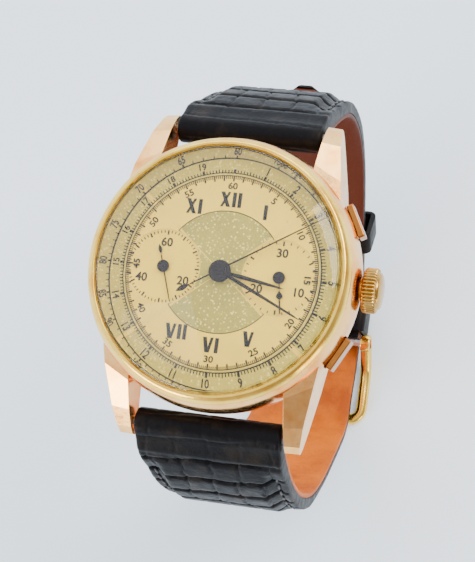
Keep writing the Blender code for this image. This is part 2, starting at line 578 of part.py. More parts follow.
def bridges():
    plate("barrel_bridge", [(0.4, -0.4, 1.5), (*BARREL_AT, 3.4), (9.6, 5.6, 1.5), (8.4, 0.0, 1.1),
                            (10.2, 2.2, 1.0), (0.2, 11.6, 1.3), (-3.6, 7.2, 1.3)], BRIDGE, NICKEL,
          [(0, 0, 0.68), (*BARREL_AT, 0.68), (*CROWN_WHEEL_AT, 0.42), (*RECORDER_AT, 0.3), (*CLICK_AT, 0.27)],
          [(10.2, 6.0, 0.75), (0.2, 11.9, 0.85), (-3.9, 7.4, 0.8)])
    plate("train_bridge", [(*ESCAPE_AT, 1.0), (*FOURTH_AT, 1.4), (*THIRD_AT, 1.0), (-10.9, 3.4, 1.1),
                           (-12.6, -3.5, 1.1)],
          BRIDGE, NICKEL, [(*ESCAPE_AT, 0.22), (*FOURTH_AT, 0.27), (*THIRD_AT, 0.22)],
          [(-10.9, 3.9, 0.8), (-12.4, -3.6, 0.8)])


def chronograph_works():
    """Chronograph wheels, levers, cam, hammer and bridge on the back of the movement."""
    centre = wheel("chronograph_wheel", (0, 0), CHRONO, 28, 3.5, BRASS, spokes=0)
    heart = add("tool", extruded_mesh(heart_cam((0, 0), 0.55, 1.3, radians(-55)), *LEVER), STEEL)
    combine(centre, unite=[rod("tool", 0.2, -8.15, 1.65, steps=10), heart,
                           rod("tool", 0.4, LEVER[1] - 0.1, CHRONO[0] + 0.1, steps=10)])
    recorder = wheel("minute_recorder_wheel", RECORDER_AT, CHRONO, 20, 2.5, BRASS, spokes=0)
    heart = add("tool", extruded_mesh(heart_cam(RECORDER_AT, 0.5, 1.15, radians(-100)), *LEVER), STEEL)
    combine(recorder, unite=[rod("tool", 0.18, -8.15, 0.27, steps=10, at=(*RECORDER_AT, 0)), heart,
                             rod("tool", 0.4, LEVER[1] - 0.1, CHRONO[0] + 0.1, steps=10, at=(*RECORDER_AT, 0))])
    gear = wheel("recorder_intermediate_wheel", INTERMEDIATE_AT, CHRONO, 12, 0.84, BRASS, spokes=0, tooth=0.2)
    combine(gear, unite=[rod("tool", 0.16, -8.1, -6.35, steps=8, at=(*INTERMEDIATE_AT, 0))])
    coupling_parts()
    operating_parts()
    hammer_parts()
    plate("chronograph_bridge", [(0, 0, 0.9), (*RECORDER_AT, 0.9), (12.3, -1.6, 0.8), (2.2, -4.6, 0.7)],
          CHRONO_BRIDGE, NICKEL, [(0, 0, 0.26), (*RECORDER_AT, 0.24), (*INTERMEDIATE_AT, 0.22)],
          [(12.3, -1.6, 0.6), (2.2, -4.6, 0.5)], PLATE[0] - 0.05)


def heart_cam(at, short, long, turn):
    """Heart-shaped reset cam: a rising spiral each way with a notch at its lowest point."""
    points = []
    count = 12
    for i in range(count):
        angle = -pi + 2 * pi * i / count
        radius = long - (long - short) * abs(angle) / pi
        points.append((at[0] + radius * cos(angle + turn), at[1] + radius * sin(angle + turn)))
    return points


def coupling_parts():
    """Lever that swings the coupling wheel into the chronograph wheel."""
    x, y = FOURTH_AT
    shapes = [hull([(x, y, 0.9), (-5.1, 4.2, 0.5), (-3.2, 5.2, 0.4)]), hull([(x, y, 0.7), (*COUPLING_AT, 0.6)])]
    lobed("coupling_lever", shapes, LEVER, STEEL, (x, y, 0), [(x, y, 0.3), (*COUPLING_AT, 0.22)])
    gear = wheel("coupling_wheel", COUPLING_AT, CHRONO, 10, 0.94, BRASS, spokes=0, tooth=0.2)
    combine(gear, unite=[rod("tool", 0.15, -7.75, -7.0, steps=8, at=(*COUPLING_AT, 0))])


def radial(radius, angle):
    return (radius * cos(radians(angle)), radius * sin(radians(angle)))


def finger_tab(sign):
    """Upright tab at the rim that a pusher presses on."""
    return box_tool((14.45, -0.9, LEVER[0] + 0.03), (14.75, 0.9, STEM_Z + 0.8), sign * PUSHER_ANGLE)


def operating_parts():
    shapes = [hull([(*OPERATING_PIVOT, 0.8), (*radial(13.9, 42), 0.5)]),
              hull([(*radial(13.9, 42), 0.46), (*radial(14.3, PUSHER_ANGLE), 0.35)])]
    lobed("operating_lever", shapes, LEVER, STEEL, (*OPERATING_PIVOT, 0), [(*OPERATING_PIVOT, 0.25)],
          [finger_tab(1)])
    cam = add("chronograph_cam", extruded_mesh(teeth(CAM_AT, 6, 1.15, 0.85), *LEVER), STEEL, (*CAM_AT, 0))
    combine(cam, unite=[rod("tool", 0.3, -7.5, -6.5, steps=10, at=(*CAM_AT, 0))])


def hammer_parts():
    """Reset hammer with one face for each heart cam."""
    x, y = HAMMER_PIVOT
    shapes = [hull([(x, y, 0.8), (*radial(13.9, -42), 0.5)]),
              hull([(*radial(13.9, -42), 0.46), (*radial(14.3, -PUSHER_ANGLE), 0.35)]),
              hull([(x - 0.1, y + 0.3, 0.5), (6.4, -3.9, 0.5)]),
              hull([(6.4, -3.9, 0.47), (2.9, -0.7, 0.4)]),
              hull([(6.4, -3.9, 0.43), (10.0, -3.0, 0.4)]),
              hull([(10.0, -3.0, 0.37), (10.9, -0.2, 0.35)])]
    lobed("hammer", shapes, LEVER, STEEL, (x, y, 0), [(x, y, 0.25)], [finger_tab(-1)])


def keyless_works():
    """Setting lever: its nose sits in the stem's groove."""
    nose = (11.3, -0.54)
    lobed("setting_lever", [hull([(*SETTING_PIVOT, 0.7), (*nose, 0.3)])], (-1.6, -1.3), STEEL, (*SETTING_PIVOT, 0),
          tools=[rod("tool", 0.19, -2.4, -1.4, steps=8, at=(*nose, 0))])


# ---------------------------------------------------------------- strap
# Each half follows the joint line between its leather and its lining, as (y, height).
STRAIGHT_START = (11.9, 10.8)
STRAIGHT_WAY = (0.64, 0.768)
STRAIGHT_LENGTH = 19.5
TAIL_PAST_STRAIGHT = 18.0
SHORT_BEND = [(20.4, 64.8), (23.3, 60.2), (26.5, 54.0), (28.8, 48.0), (29.6, 42.3), (29.1, 36.2), (27.3, 30.6)]
SHORT_END = [(9.7, 7.7), (7.0, 4.95), (4.4, 4.75), (0.9, 4.75)]
LONG_ROUTE = [(-20.4, 64.8), (-23.2, 60.0), (-25.9, 52.5), (-27.0, 44.0), (-26.2, 35.0), (-23.4, 26.3),
              (-19.8, 18.4), (-16.9, 12.2), (-14.4, 7.2), (-11.4, 4.2), (-7.6, 3.3), (-3.6, 2.7), (0.0, 2.38)]
LAYER_STEP = 2.4            # from the short half's joint line out to the tail's
SHORT_LEATHER = 1.45        # leather at the buckle end
PAD = 2.9                   # leather where it is padded, near the case
FREE_KEEPER_UP = 7.3        # free keeper's distance up the straight run
KEEPER_WIDE = 4.0


def straight_run():
    """Points of the straight stretch, from the case end down."""
    steps = [STRAIGHT_LENGTH * k / 3 for k in (3, 2, 1, 0)]
    return [(STRAIGHT_START[0] + STRAIGHT_WAY[0] * d, STRAIGHT_START[1] + STRAIGHT_WAY[1] * d) for d in steps]


def spline(points, step=0.5):
    """A smooth curve through the points, read at even distances."""
    fine = []
    padded = [points[0], *points, points[-1]]
    for a, b, c, d in zip(padded, padded[1:], padded[2:], padded[3:]):
        for k in range(16):
            t = k / 16
            fine.append(tuple(0.5 * (2 * q + (r - p) * t + (2 * p - 5 * q + 4 * r - s) * t * t
                                     + (3 * q - p - 3 * r + s) * t ** 3) for p, q, r, s in zip(a, b, c, d)))
    fine.append(points[-1])
    return resample(fine, step)


def resample(fine, step):
    lengths = [0.0]
    for a, b in zip(fine, fine[1:]):
        lengths.append(lengths[-1] + hypot(b[0] - a[0], b[1] - a[1]))
    count = max(2, round(lengths[-1] / step))
    even = []
    k = 0
    for i in range(count + 1):
        want = lengths[-1] * i / count
        while k < len(fine) - 2 and lengths[k + 1] < want:
            k += 1
        part = (want - lengths[k]) / (lengths[k + 1] - lengths[k])
        even.append((fine[k][0] + part * (fine[k + 1][0] - fine[k][0]),
                     fine[k][1] + part * (fine[k + 1][1] - fine[k][1])))
    return even


def normals(route, side):
    """Outward unit normals of a route; side is +1 on the 12 o'clock half, -1 on the other."""
    out = []
    for i in range(len(route)):
        a, b = route[max(i - 1, 0)], route[min(i + 1, len(route) - 1)]
        size = hypot(b[0] - a[0], b[1] - a[1])
        out.append((-side * (b[1] - a[1]) / size, side * (b[0] - a[0]) / size))
    return out


def short_route():
    return spline([*SHORT_BEND, *straight_run(), *SHORT_END])


def long_route():
    """Down from the case, under the buckle's front, then outside the short half to the tip."""
    inner = short_route()
    outward = normals(inner, 1)
    beside = [(p[0] + n[0] * LAYER_STEP, p[1] + n[1] * LAYER_STEP) for p, n in zip(inner, outward)]
    first = STRAIGHT_START[1] + STRAIGHT_WAY[1] * STRAIGHT_LENGTH
    follow = [b for p, b in zip(inner, beside) if p[0] > 3.5 and p[1] < first - 1.0][::-1][::6]
    end = follow[-1]
    tail = [(end[0] + STRAIGHT_WAY[0] * d, end[1] + STRAIGHT_WAY[1] * d)
            for d in (0.5 * TAIL_PAST_STRAIGHT, TAIL_PAST_STRAIGHT)]
    return spline([*LONG_ROUTE, *follow, *tail])


def ease(value):
    value = min(max(value, 0.0), 1.0)
    return value * value * (3 - 2 * value)


def half_width(distance):
    return STRAP_LUG_HALF - (STRAP_LUG_HALF - STRAP_END_HALF) * min(distance / TAPER_LENGTH, 1.0) ** 2


def strip(name, route, side, low, high, width, start, stop, mat, every=5):
    """A strap layer between two offsets from its route; start and stop are distances along it."""
    outward = normals(route, side)
    bm = bmesh.new()
    rings = []
    step = hypot(route[1][0] - route[0][0], route[1][1] - route[0][1])
    first, last = round(start / step), len(route) - 1 - round(stop / step)
    picks = sorted({first, last, *(i for i in range(0, last, every) if i > first)})
    for i in picks:
        (y, z), (ny, nz) = route[i], outward[i]
        s = i * step
        corners = [(-1, low(s)), (1, low(s)), (1, high(s)), (-1, high(s))]
        rings.append([bm.verts.new((k * width(s), y + ny * h, z + nz * h)) for k, h in corners])
    for a, b in zip(rings, rings[1:]):
        for k in range(4):
            bm.faces.new((a[k - 1], a[k], b[k], b[k - 1]))
    bm.faces.new(rings[0])
    bm.faces.new(rings[-1])
    return add(name, bm, mat, on_strap=True)


def cross_rod(radius, at, half, steps=14):
    """A rod along X through a (y, height) point, for uniting or cutting."""
    return add("tool", rod_mesh(radius, -half, half, steps, "X", (0, *at)), STEEL, on_strap=True)


def padded(s, thin, run):
    """Leather thickness at a distance from the lug end; the pad fades out over `run`."""
    return thin + (PAD - thin) * (1 - ease((s - 14) / run)) * (0.55 + 0.45 * ease(s / 6))


def strap_short():
    route = short_route()
    leather = strip("strap_short", route, 1, lambda s: 0.03,
                    lambda s: padded(s, SHORT_LEATHER, 26), half_width, 0.0, 0.0, LEATHER)
    bar = (BAR_Y, BAR_Z + DIAL_HEIGHT)
    combine(leather,
            unite=[cross_rod(2.0, bar, STRAP_LUG_HALF - 0.03),
                   cross_rod(1.65, BUCKLE_BAR, STRAP_END_HALF - 0.03)],
            cut=[cross_rod(0.85, bar, 11.0), cross_rod(0.8, BUCKLE_BAR, 11.0),
                 box_tool((-1.4, -1.5, 2.5), (1.4, 2.7, 7.5), on_strap=True)])
    strip("lining_short", route, 1, lambda s: -LINING, lambda s: -0.03, half_width, 2.8, 2.6, TAN)


def punch(route, side, distance, radius):
    """A round punch through both layers at a distance along the route."""
    step = hypot(route[1][0] - route[0][0], route[1][1] - route[0][1])
    i = round(distance / step)
    (y, z), (ny, nz) = route[i], normals(route, side)[i]
    bm = rod_mesh(radius, -3.0, 3.0, 8)
    tilt = Vector((0, 0, 1)).rotation_difference(Vector((0, ny, nz))).to_matrix().to_4x4()
    bmesh.ops.transform(bm, matrix=Matrix.Translation(Vector((0, y, z))) @ tilt, verts=bm.verts[:])
    return add("tool", bm, STEEL, on_strap=True)


def strap_long():
    route = long_route()
    step = hypot(route[1][0] - route[0][0], route[1][1] - route[0][1])
    length = step * (len(route) - 1)
    at_tongue = step * min(range(len(route)), key=lambda i: hypot(route[i][0] + 3.6, route[i][1] - 2.7))

    def tail_width(s):
        near_tip = max(0.0, 1 - (length - s) / 9.0)
        return half_width(s + 4.0) - (STRAP_END_HALF - 1.2) * near_tip ** 1.5

    leather = strip("strap_long", route, -1, lambda s: 0.03,
                    lambda s: padded(s, TAIL_LEATHER, 34), tail_width, 0.0, 0.0, LEATHER)
    lining = strip("lining_long", route, -1, lambda s: -LINING, lambda s: -0.03, tail_width, 2.8, 0.0, TAN)
    bar = (-BAR_Y, BAR_Z + DIAL_HEIGHT)
    combine(leather, unite=[cross_rod(2.0, bar, STRAP_LUG_HALF - 0.03)], cut=[cross_rod(0.85, bar, 11.0)])
    for layer in (leather, lining):
        slot = box_tool((-1.15, -5.8, -1.0), (1.15, -1.2, 6.0), on_strap=True)
        combine(layer, cut=[slot, *[punch(route, -1, at_tongue + 6.5 * k, 0.9) for k in (-2, 1, 2, 3)]])


def keeper(name, at, way, outer_half):
    """A closed leather loop round both layers; way is the unit direction along the strap."""
    low, high, wall = -LINING - 0.3, LAYER_STEP + TAIL_LEATHER + 0.15, 1.0
    inner_half = outer_half - 1.15
    outward = (way[1], -way[0])
    bm = bmesh.new()
    loops = []
    for along in (-KEEPER_WIDE / 2, KEEPER_WIDE / 2):
        for half, a, b in ((outer_half, low - wall + 0.2, high + wall), (inner_half, low, high)):
            corners = [(-half, a), (half, a), (half, b), (-half, b)]
            loops.append([bm.verts.new((x, at[0] + way[0] * along + outward[0] * h,
                                        at[1] + way[1] * along + outward[1] * h)) for x, h in corners])
    out_a, in_a, out_b, in_b = loops
    for k in range(4):
        bm.faces.new((out_a[k - 1], out_a[k], out_b[k], out_b[k - 1]))
        bm.faces.new((in_a[k - 1], in_a[k], in_b[k], in_b[k - 1]))
        bm.faces.new((out_a[k - 1], out_a[k], in_a[k], in_a[k - 1]))
        bm.faces.new((out_b[k - 1], out_b[k], in_b[k], in_b[k - 1]))
    return add(name, bm, LEATHER, on_strap=True)


def keepers():
    keeper("fixed_keeper", (4.75, 4.75), (1.0, 0.0), 9.6)
    keeper("free_keeper", (STRAIGHT_START[0] + STRAIGHT_WAY[0] * FREE_KEEPER_UP,
                           STRAIGHT_START[1] + STRAIGHT_WAY[1] * FREE_KEEPER_UP),
           STRAIGHT_WAY, 10.6)


def buckle():
    """Round-section frame with eyelets, the bar through them, and the tongue."""
    rail_x, section = 9.5, 0.95
    low = section * cos(pi / 8)
    corner = 1.9
    bar_y, bar_z = BUCKLE_BAR
    side = [(rail_x, bar_y - 0.5, bar_z - 0.5), (rail_x, -1.6, 2.5), (rail_x, -3.4, 1.15), (rail_x, -5.2, low),
            (rail_x, BUCKLE_FRONT_Y + corner, low)]
    bend = [(rail_x - corner + corner * cos(a), BUCKLE_FRONT_Y + corner - corner * sin(a), low)
            for a in (radians(22.5), radians(45), radians(67.5), radians(90))]
    right = [*side, *bend]
    path = [*right, *[(-x, y, z) for x, y, z in right[::-1]]]
    pivot = (0.0, bar_y, bar_z)
    frame = add("buckle_frame", sweep_mesh(path, section, section, sides=8), YELLOW_GOLD, pivot, on_strap=True)
    ears = []
    for sign in (-1, 1):
        ears.append(add("tool", rod_mesh(1.45, sign * rail_x - 0.8, sign * rail_x + 0.8, 12, "X",
                                         (0, bar_y, bar_z)), YELLOW_GOLD, on_strap=True))
    combine(frame, unite=ears, cut=[cross_rod(0.8, BUCKLE_BAR, 9.8),
                                    box_tool((-1.2, -14.0, -0.5), (1.2, -10.0, 1.3), on_strap=True)])
    add("buckle_bar", rod_mesh(0.7, -9.7, 9.7, 12, "X", (0, bar_y, bar_z)), STEEL, pivot, on_strap=True)
    shank = [(0, bar_y - 0.9, bar_z - 0.4), (0, -1.6, 4.0), (0, -3.1, 2.85), (0, -4.6, 1.35), (0, -6.0, 0.75),
             (0, -9.0, 0.68), (0, -12.6, 0.68)]
    tongue = add("buckle_tongue", sweep_mesh(shank, 0.8, 0.4), YELLOW_GOLD, pivot, on_strap=True)
    ring = add("tool", rod_mesh(1.3, -1.1, 1.1, 16, "X", (0, bar_y, bar_z)), YELLOW_GOLD, on_strap=True)
    combine(tongue, unite=[ring], cut=[cross_rod(0.78, BUCKLE_BAR, 3.0)])


def spring_bars():
    for name, sign in (("spring_bar_12", 1), ("spring_bar_6", -1)):
        turned(name, [(0, -11.3), (0.4, -11.3), (0.4, -10.4), (0.75, -10.35), (0.75, 10.35), (0.4, 10.4),
                      (0.4, 11.3), (0, 11.3)], STEEL, 8, "X", (0, sign * BAR_Y, BAR_Z), (0, 0, 0))


# ---------------------------------------------------------------- assembly
def main():
    case_middle()
    case_shell_parts()
    dial()
    crown_parts()
    pusher("pusher_start", 1)
    pusher("pusher_reset", -1)
    hands()
    main_plate()
    movement_ring()
    motion_works()
    barrel()
    winding_wheels()
    going_train()
    bridges()
    chronograph_works()
    keyless_works()
    strap_short()
    strap_long()
    keepers()
    buckle()
    spring_bars()


main()
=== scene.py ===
from math import asin, atan2, cos, exp, floor, hypot, pi, radians, sin, sqrt

import bmesh
import bpy
from mathutils import Matrix, Vector, noise


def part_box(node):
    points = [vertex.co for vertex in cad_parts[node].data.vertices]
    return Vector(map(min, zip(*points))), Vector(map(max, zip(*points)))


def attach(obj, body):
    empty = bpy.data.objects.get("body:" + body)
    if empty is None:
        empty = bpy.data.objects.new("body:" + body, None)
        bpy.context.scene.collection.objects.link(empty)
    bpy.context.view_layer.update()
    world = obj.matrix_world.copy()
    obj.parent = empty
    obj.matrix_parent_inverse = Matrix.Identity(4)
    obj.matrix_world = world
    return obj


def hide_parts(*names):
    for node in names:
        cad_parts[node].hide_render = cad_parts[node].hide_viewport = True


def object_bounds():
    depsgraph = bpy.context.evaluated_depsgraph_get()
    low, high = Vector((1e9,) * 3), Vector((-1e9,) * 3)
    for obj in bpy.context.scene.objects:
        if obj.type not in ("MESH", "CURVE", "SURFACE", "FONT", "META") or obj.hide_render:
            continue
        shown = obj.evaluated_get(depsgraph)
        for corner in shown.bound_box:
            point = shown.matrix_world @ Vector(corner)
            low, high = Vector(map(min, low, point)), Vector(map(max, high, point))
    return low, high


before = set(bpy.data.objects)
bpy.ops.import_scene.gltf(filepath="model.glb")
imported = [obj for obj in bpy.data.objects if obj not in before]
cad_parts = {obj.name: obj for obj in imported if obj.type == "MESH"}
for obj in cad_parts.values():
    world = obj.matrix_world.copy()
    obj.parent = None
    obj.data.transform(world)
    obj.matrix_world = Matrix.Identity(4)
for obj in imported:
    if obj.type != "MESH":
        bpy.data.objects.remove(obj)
cad_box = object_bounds()

# Lengths are in millimetres. The watch head is measured from the centre of the dial's
# top face; the strap is measured in heights above the surface that it stands on.
MM = 0.001
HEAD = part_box("crystal")[0].z / MM - 0.15
FLOOR = cad_box[0].z / MM

STEM_Z = -2.5
SUB_X, SUB_R = 7.85, 5.05
PUSHER_ANGLE = 28.0
LUG_GAP = 21.0
BAR_Y, BAR_DEPTH = 20.4, 5.6      # spring bars, from the middle and below the dial
BUCKLE_BAR = (0.9, 5.0)
ROMAN_RADIUS = 9.72
HOLE_PITCH = 6.5
FREE_KEEPER_UP = 7.3
LINING = 0.65


# ---------------------------------------------------------------- mesh helpers
def at_head(x=0.0, y=0.0, z=0.0):
    return Vector((x, y, z + HEAD))


def at_floor(x=0.0, y=0.0, z=0.0):
    return Vector((x, y, z + FLOOR))


def make(name, bm, mats, body, nodes=(), base=at_head(), sharp=35.0, bevel=None):
    """A finished piece from a mesh in millimetres."""
    bmesh.ops.remove_doubles(bm, verts=bm.verts[:], dist=1e-5)
    bmesh.ops.recalc_face_normals(bm, faces=bm.faces[:])
    bmesh.ops.translate(bm, vec=base, verts=bm.verts[:])
    bmesh.ops.scale(bm, vec=(MM, MM, MM), verts=bm.verts[:])
    mesh = bpy.data.meshes.new(name)
    bm.to_mesh(mesh)
    bm.free()
    for mat in mats if isinstance(mats, (list, tuple)) else [mats]:
        mesh.materials.append(mat)
    obj = bpy.data.objects.new(name, mesh)
    bpy.context.scene.collection.objects.link(obj)
    if bevel:
        mod = obj.modifiers.new("edges", "BEVEL")
        mod.width, mod.segments = bevel[0] * MM, bevel[1]
        mod.limit_method, mod.angle_limit = "ANGLE", radians(30)
        mod.use_clamp_overlap = True
    mesh.shade_smooth()
    mesh.set_sharp_from_angle(angle=radians(sharp))
    if body:
        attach(obj, body)
    if nodes:
        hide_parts(*nodes)
    return obj


def soften(points, radius, steps=4):
    """Round the corners of a closed outline; radius is one number or one for each corner."""
    out = []
    count = len(points)
    for i, p in enumerate(points):
        r = radius[i] if isinstance(radius, (list, tuple)) else radius
        corner = Vector(p)
        before, after = Vector(points[i - 1]) - corner, Vector(points[(i + 1) % count]) - corner
        if r <= 0 or p[0] == 0:
            out.append((corner.x, corner.y))
            continue
        a = corner + before.normalized() * min(r, before.length * 0.45)
        b = corner + after.normalized() * min(r, after.length * 0.45)
        for k in range(steps + 1):
            t = k / steps
            q = a * (1 - t) ** 2 + corner * 2 * t * (1 - t) + b * t * t
            out.append((q.x, q.y))
    return out


def turned(profile, steps=128, axis="Z", at=(0.0, 0.0, 0.0)):
    """Spin a closed (radius, height) profile round an axis."""
    bm = bmesh.new()
    rings = []
    for r, h in profile:
        if abs(r) < 1e-7:
            rings.append([bm.verts.new((0, 0, h))])
        else:
            rings.append([bm.verts.new((r * cos(2 * pi * k / steps), r * sin(2 * pi * k / steps), h))
                          for k in range(steps)])
    for a, b in zip(rings, rings[1:] + rings[:1]):
        if len(a) == 1 and len(b) == 1:
            continue
        for k in range(steps):
            j = (k + 1) % steps
            quad = [a[k % len(a)], a[j % len(a)], b[j % len(b)], b[k % len(b)]]
            corners = list(dict.fromkeys(quad))
            if len(corners) > 2:
                bm.faces.new(corners)
    turn = {"Z": Matrix.Identity(4), "X": Matrix.Rotation(pi / 2, 4, "Y")}[axis]
    bmesh.ops.transform(bm, matrix=Matrix.Translation(Vector(at)) @ turn, verts=bm.verts[:])
    return bm


def prism(outline, low, high):
    """A closed plate with vertical walls from a simple outline."""
    bm = bmesh.new()
    bottom = [bm.verts.new((x, y, low)) for x, y in outline]
    top = [bm.verts.new((x, y, high)) for x, y in outline]
    for i in range(len(outline)):
        bm.faces.new((bottom[i - 1], bottom[i], top[i], top[i - 1]))
    bm.faces.new(bottom[::-1])
    bm.faces.new(top)
    return bm


def loft(bm, rings, caps=True):
    """Skin rings of vertices one after the other and close both ends."""
    for a, b in zip(rings, rings[1:]):
        for k in range(len(a)):
            bm.faces.new((a[k - 1], a[k], b[k], b[k - 1]))
    if caps:
        bm.faces.new(rings[0])
        bm.faces.new(rings[-1])


def cross_bore(radius, reach, place, steps=32):
    """A round tool along X, as long to the left as to the right."""
    return turned([(0, -reach), (radius, -reach), (radius, reach), (0, reach)], steps, "X", (0, *place))


def block(low, high):
    return prism([(low[0], low[1]), (high[0], low[1]), (high[0], high[1]), (low[0], high[1])], low[2], high[2])


def circle(at, radius, count):
    return [(at[0] + radius * cos(2 * pi * i / count), at[1] + radius * sin(2 * pi * i / count))
            for i in range(count)]


def merge(*parts):
    """Put several meshes into one, each still its own closed shell."""
    bm = bmesh.new()
    for part in parts:
        mesh = bpy.data.meshes.new("part")
        part.to_mesh(mesh)
        part.free()
        bm.from_mesh(mesh)
        bpy.data.meshes.remove(mesh)
    return bm


def moved(bm, matrix):
    bmesh.ops.transform(bm, matrix=matrix, verts=bm.verts[:])
    return bm


def cut(obj, tools, solver="EXACT"):
    """Cut tool meshes (in millimetres, from the piece's own base) out of a piece."""
    for bm, base in tools:
        tool = make("tool", bm, obj.data.materials[0], None, base=base)
        mod = obj.modifiers.new("cut", "BOOLEAN")
        mod.operation, mod.solver, mod.object = "DIFFERENCE", solver, tool
        bpy.context.view_layer.update()
        result = bpy.data.meshes.new_from_object(obj.evaluated_get(bpy.context.evaluated_depsgraph_get()))
        obj.modifiers.remove(mod)
        obj.data = result
        bpy.data.objects.remove(tool, do_unlink=True)
    obj.data.shade_smooth()
    obj.data.set_sharp_from_angle(angle=radians(35))


def tube(points, half_wide, half_high, sides, up):
    """A rounded bar along a path of points."""
    bm = bmesh.new()
    path = [Vector(p) for p in points]
    rings = []
    last = len(path) - 1
    for i, p in enumerate(path):
        ahead = path[min(i + 1, last)] - path[max(i - 1, 0)]
        ahead.normalize()
        side = ahead.cross(up).normalized()
        rise = side.cross(ahead).normalized()
        ring = []
        for k in range(sides):
            a = 2 * pi * (k + 0.5) / sides
            ring.append(bm.verts.new(p + side * half_wide * cos(a) + rise * half_high * sin(a)))
        rings.append(ring)
    loft(bm, rings)
    return bm


# ---------------------------------------------------------------- materials
class Graph:
    """A material's node tree with short calls for the few nodes used here."""

    def __init__(self, name):
        self.mat = bpy.data.materials.new(name)
        self.mat.use_nodes = True
        self.tree = self.mat.node_tree
        self.shader = self.tree.nodes["Principled BSDF"]
        self.coords = self.tree.nodes.new("ShaderNodeTexCoord").outputs["Object"]

    def node(self, kind, **values):
        made = self.tree.nodes.new(kind)
        for key, value in values.items():
            setattr(made, key, value)
        return made

    def link(self, out, to):
        self.tree.links.new(out, to)

    def put(self, value, socket):
        """Feed a socket from another node's output, or give it a constant."""
        if isinstance(value, bpy.types.NodeSocket):
            self.link(value, socket)
        else:
            socket.default_value = (*value, 1.0) if isinstance(value, tuple) else value

    def set(self, **values):
        for key, value in values.items():
            self.put(value, self.shader.inputs[key.replace("_", " ")])

    def scaled(self, x, y, z):
        made = self.node("ShaderNodeMapping")
        made.inputs["Scale"].default_value = (x, y, z)
        self.link(self.coords, made.inputs["Vector"])
        return made.outputs["Vector"]

    def noise(self, scale, detail=3.0, rough=0.55, vector=None):
        made = self.node("ShaderNodeTexNoise")
        made.inputs["Scale"].default_value = scale
        made.inputs["Detail"].default_value = detail
        made.inputs["Roughness"].default_value = rough
        self.link(vector or self.coords, made.inputs["Vector"])
        return made.outputs["Fac"]

    def cells(self, scale, feature="F1"):
        made = self.node("ShaderNodeTexVoronoi", feature=feature)
        made.inputs["Scale"].default_value = scale
        self.link(self.coords, made.inputs["Vector"])
        return made.outputs["Distance"]

    def ramp(self, factor, *stops):
        """Colours or levels between (position, value) stops."""
        made = self.node("ShaderNodeValToRGB")
        elements = made.color_ramp.elements
        while len(elements) < len(stops):
            elements.new(0.5)
        for element, (position, value) in zip(elements, stops):
            element.position = position
            element.color = (*value, 1.0) if isinstance(value, tuple) else (value, value, value, 1.0)
        self.link(factor, made.inputs["Fac"])
        return made.outputs["Color"]

    def mix(self, factor, a, b):
        made = self.node("ShaderNodeMix", data_type="RGBA")
        for value, socket in ((factor, made.inputs["Factor"]), (a, made.inputs[6]), (b, made.inputs[7])):
            self.put(value, socket)
        return made.outputs[2]

    def math(self, operation, a, b=0.0):
        made = self.node("ShaderNodeMath", operation=operation)
        for value, socket in zip((a, b), made.inputs):
            self.put(value, socket)
        return made.outputs[0]

    def radius(self, x=0.0, y=0.0):
        """Distance from an upright axis through (x, y), in millimetres."""
        split = self.node("ShaderNodeSeparateXYZ")
        self.link(self.coords, split.inputs[0])
        dx = self.math("SUBTRACT", split.outputs[0], x * MM)
        dy = self.math("SUBTRACT", split.outputs[1], y * MM)
        square = self.math("ADD", self.math("MULTIPLY", dx, dx), self.math("MULTIPLY", dy, dy))
        return self.math("MULTIPLY", self.math("SQRT", square), 1 / MM)

    def bump(self, height, strength, distance):
        made = self.node("ShaderNodeBump")
        made.inputs["Strength"].default_value = strength
        made.inputs["Distance"].default_value = distance * MM
        self.link(height, made.inputs["Height"])
        self.link(made.outputs["Normal"], self.shader.inputs["Normal"])


def plated(name, colour, dull, rough=(0.12, 0.3)):
    """Polished gold plate with soft tarnish, fine scratches and rubbed patches."""
    g = Graph(name)
    cloud = g.noise(260, 5.0)
    specks = g.noise(1900, 3.0)
    tone = g.mix(g.ramp(cloud, (0.42, 0.0), (0.72, 1.0)), colour, dull)
    g.set(Base_Color=g.mix(g.ramp(specks, (0.66, 0.0), (0.74, 0.55)), tone, tuple(c * 0.55 for c in dull)),
          Metallic=1.0,
          Roughness=g.ramp(g.noise(900, 6.0, 0.7), (0.3, rough[0]), (0.75, rough[1])))
    scratch = g.noise(700, 4.0, 0.7, g.scaled(1.0, 9.0, 3.0))
    g.bump(g.mix(0.5, scratch, g.noise(420, 2.0)), 0.16, 0.05)
    return g.mat


def steel(name, colour, rough=(0.2, 0.38), stretch=(1.0, 14.0, 1.0)):
    """Drawn or blued steel with a fine directional grain."""
    g = Graph(name)
    grain = g.noise(1400, 4.0, 0.6, g.scaled(*stretch))
    shade = g.mix(g.ramp(g.noise(500, 3.0), (0.35, 0.0), (0.7, 0.35)), colour, tuple(c * 0.6 for c in colour))
    g.set(Base_Color=shade, Metallic=1.0, Roughness=g.ramp(grain, (0.3, rough[0]), (0.7, rough[1])))
    g.bump(grain, 0.12, 0.02)
    return g.mat


def striped(name, colour, pitch=1.6):
    """Frosted nickel with straight decorative stripes."""
    g = Graph(name)
    wave = g.node("ShaderNodeTexWave", wave_type="BANDS", bands_direction="DIAGONAL", wave_profile="SAW")
    wave.inputs["Scale"].default_value = 1 / (pitch * MM * 20 / (2 * pi) * 3.0)
    wave.inputs["Distortion"].default_value = 0.4
    g.link(g.coords, wave.inputs["Vector"])
    bands = wave.outputs["Fac"]
    g.set(Base_Color=g.mix(bands, colour, tuple(c * 0.82 for c in colour)), Metallic=1.0,
          Roughness=g.ramp(g.noise(3000, 2.0), (0.3, 0.24), (0.7, 0.42)))
    g.bump(bands, 0.3, 0.03)
    return g.mat


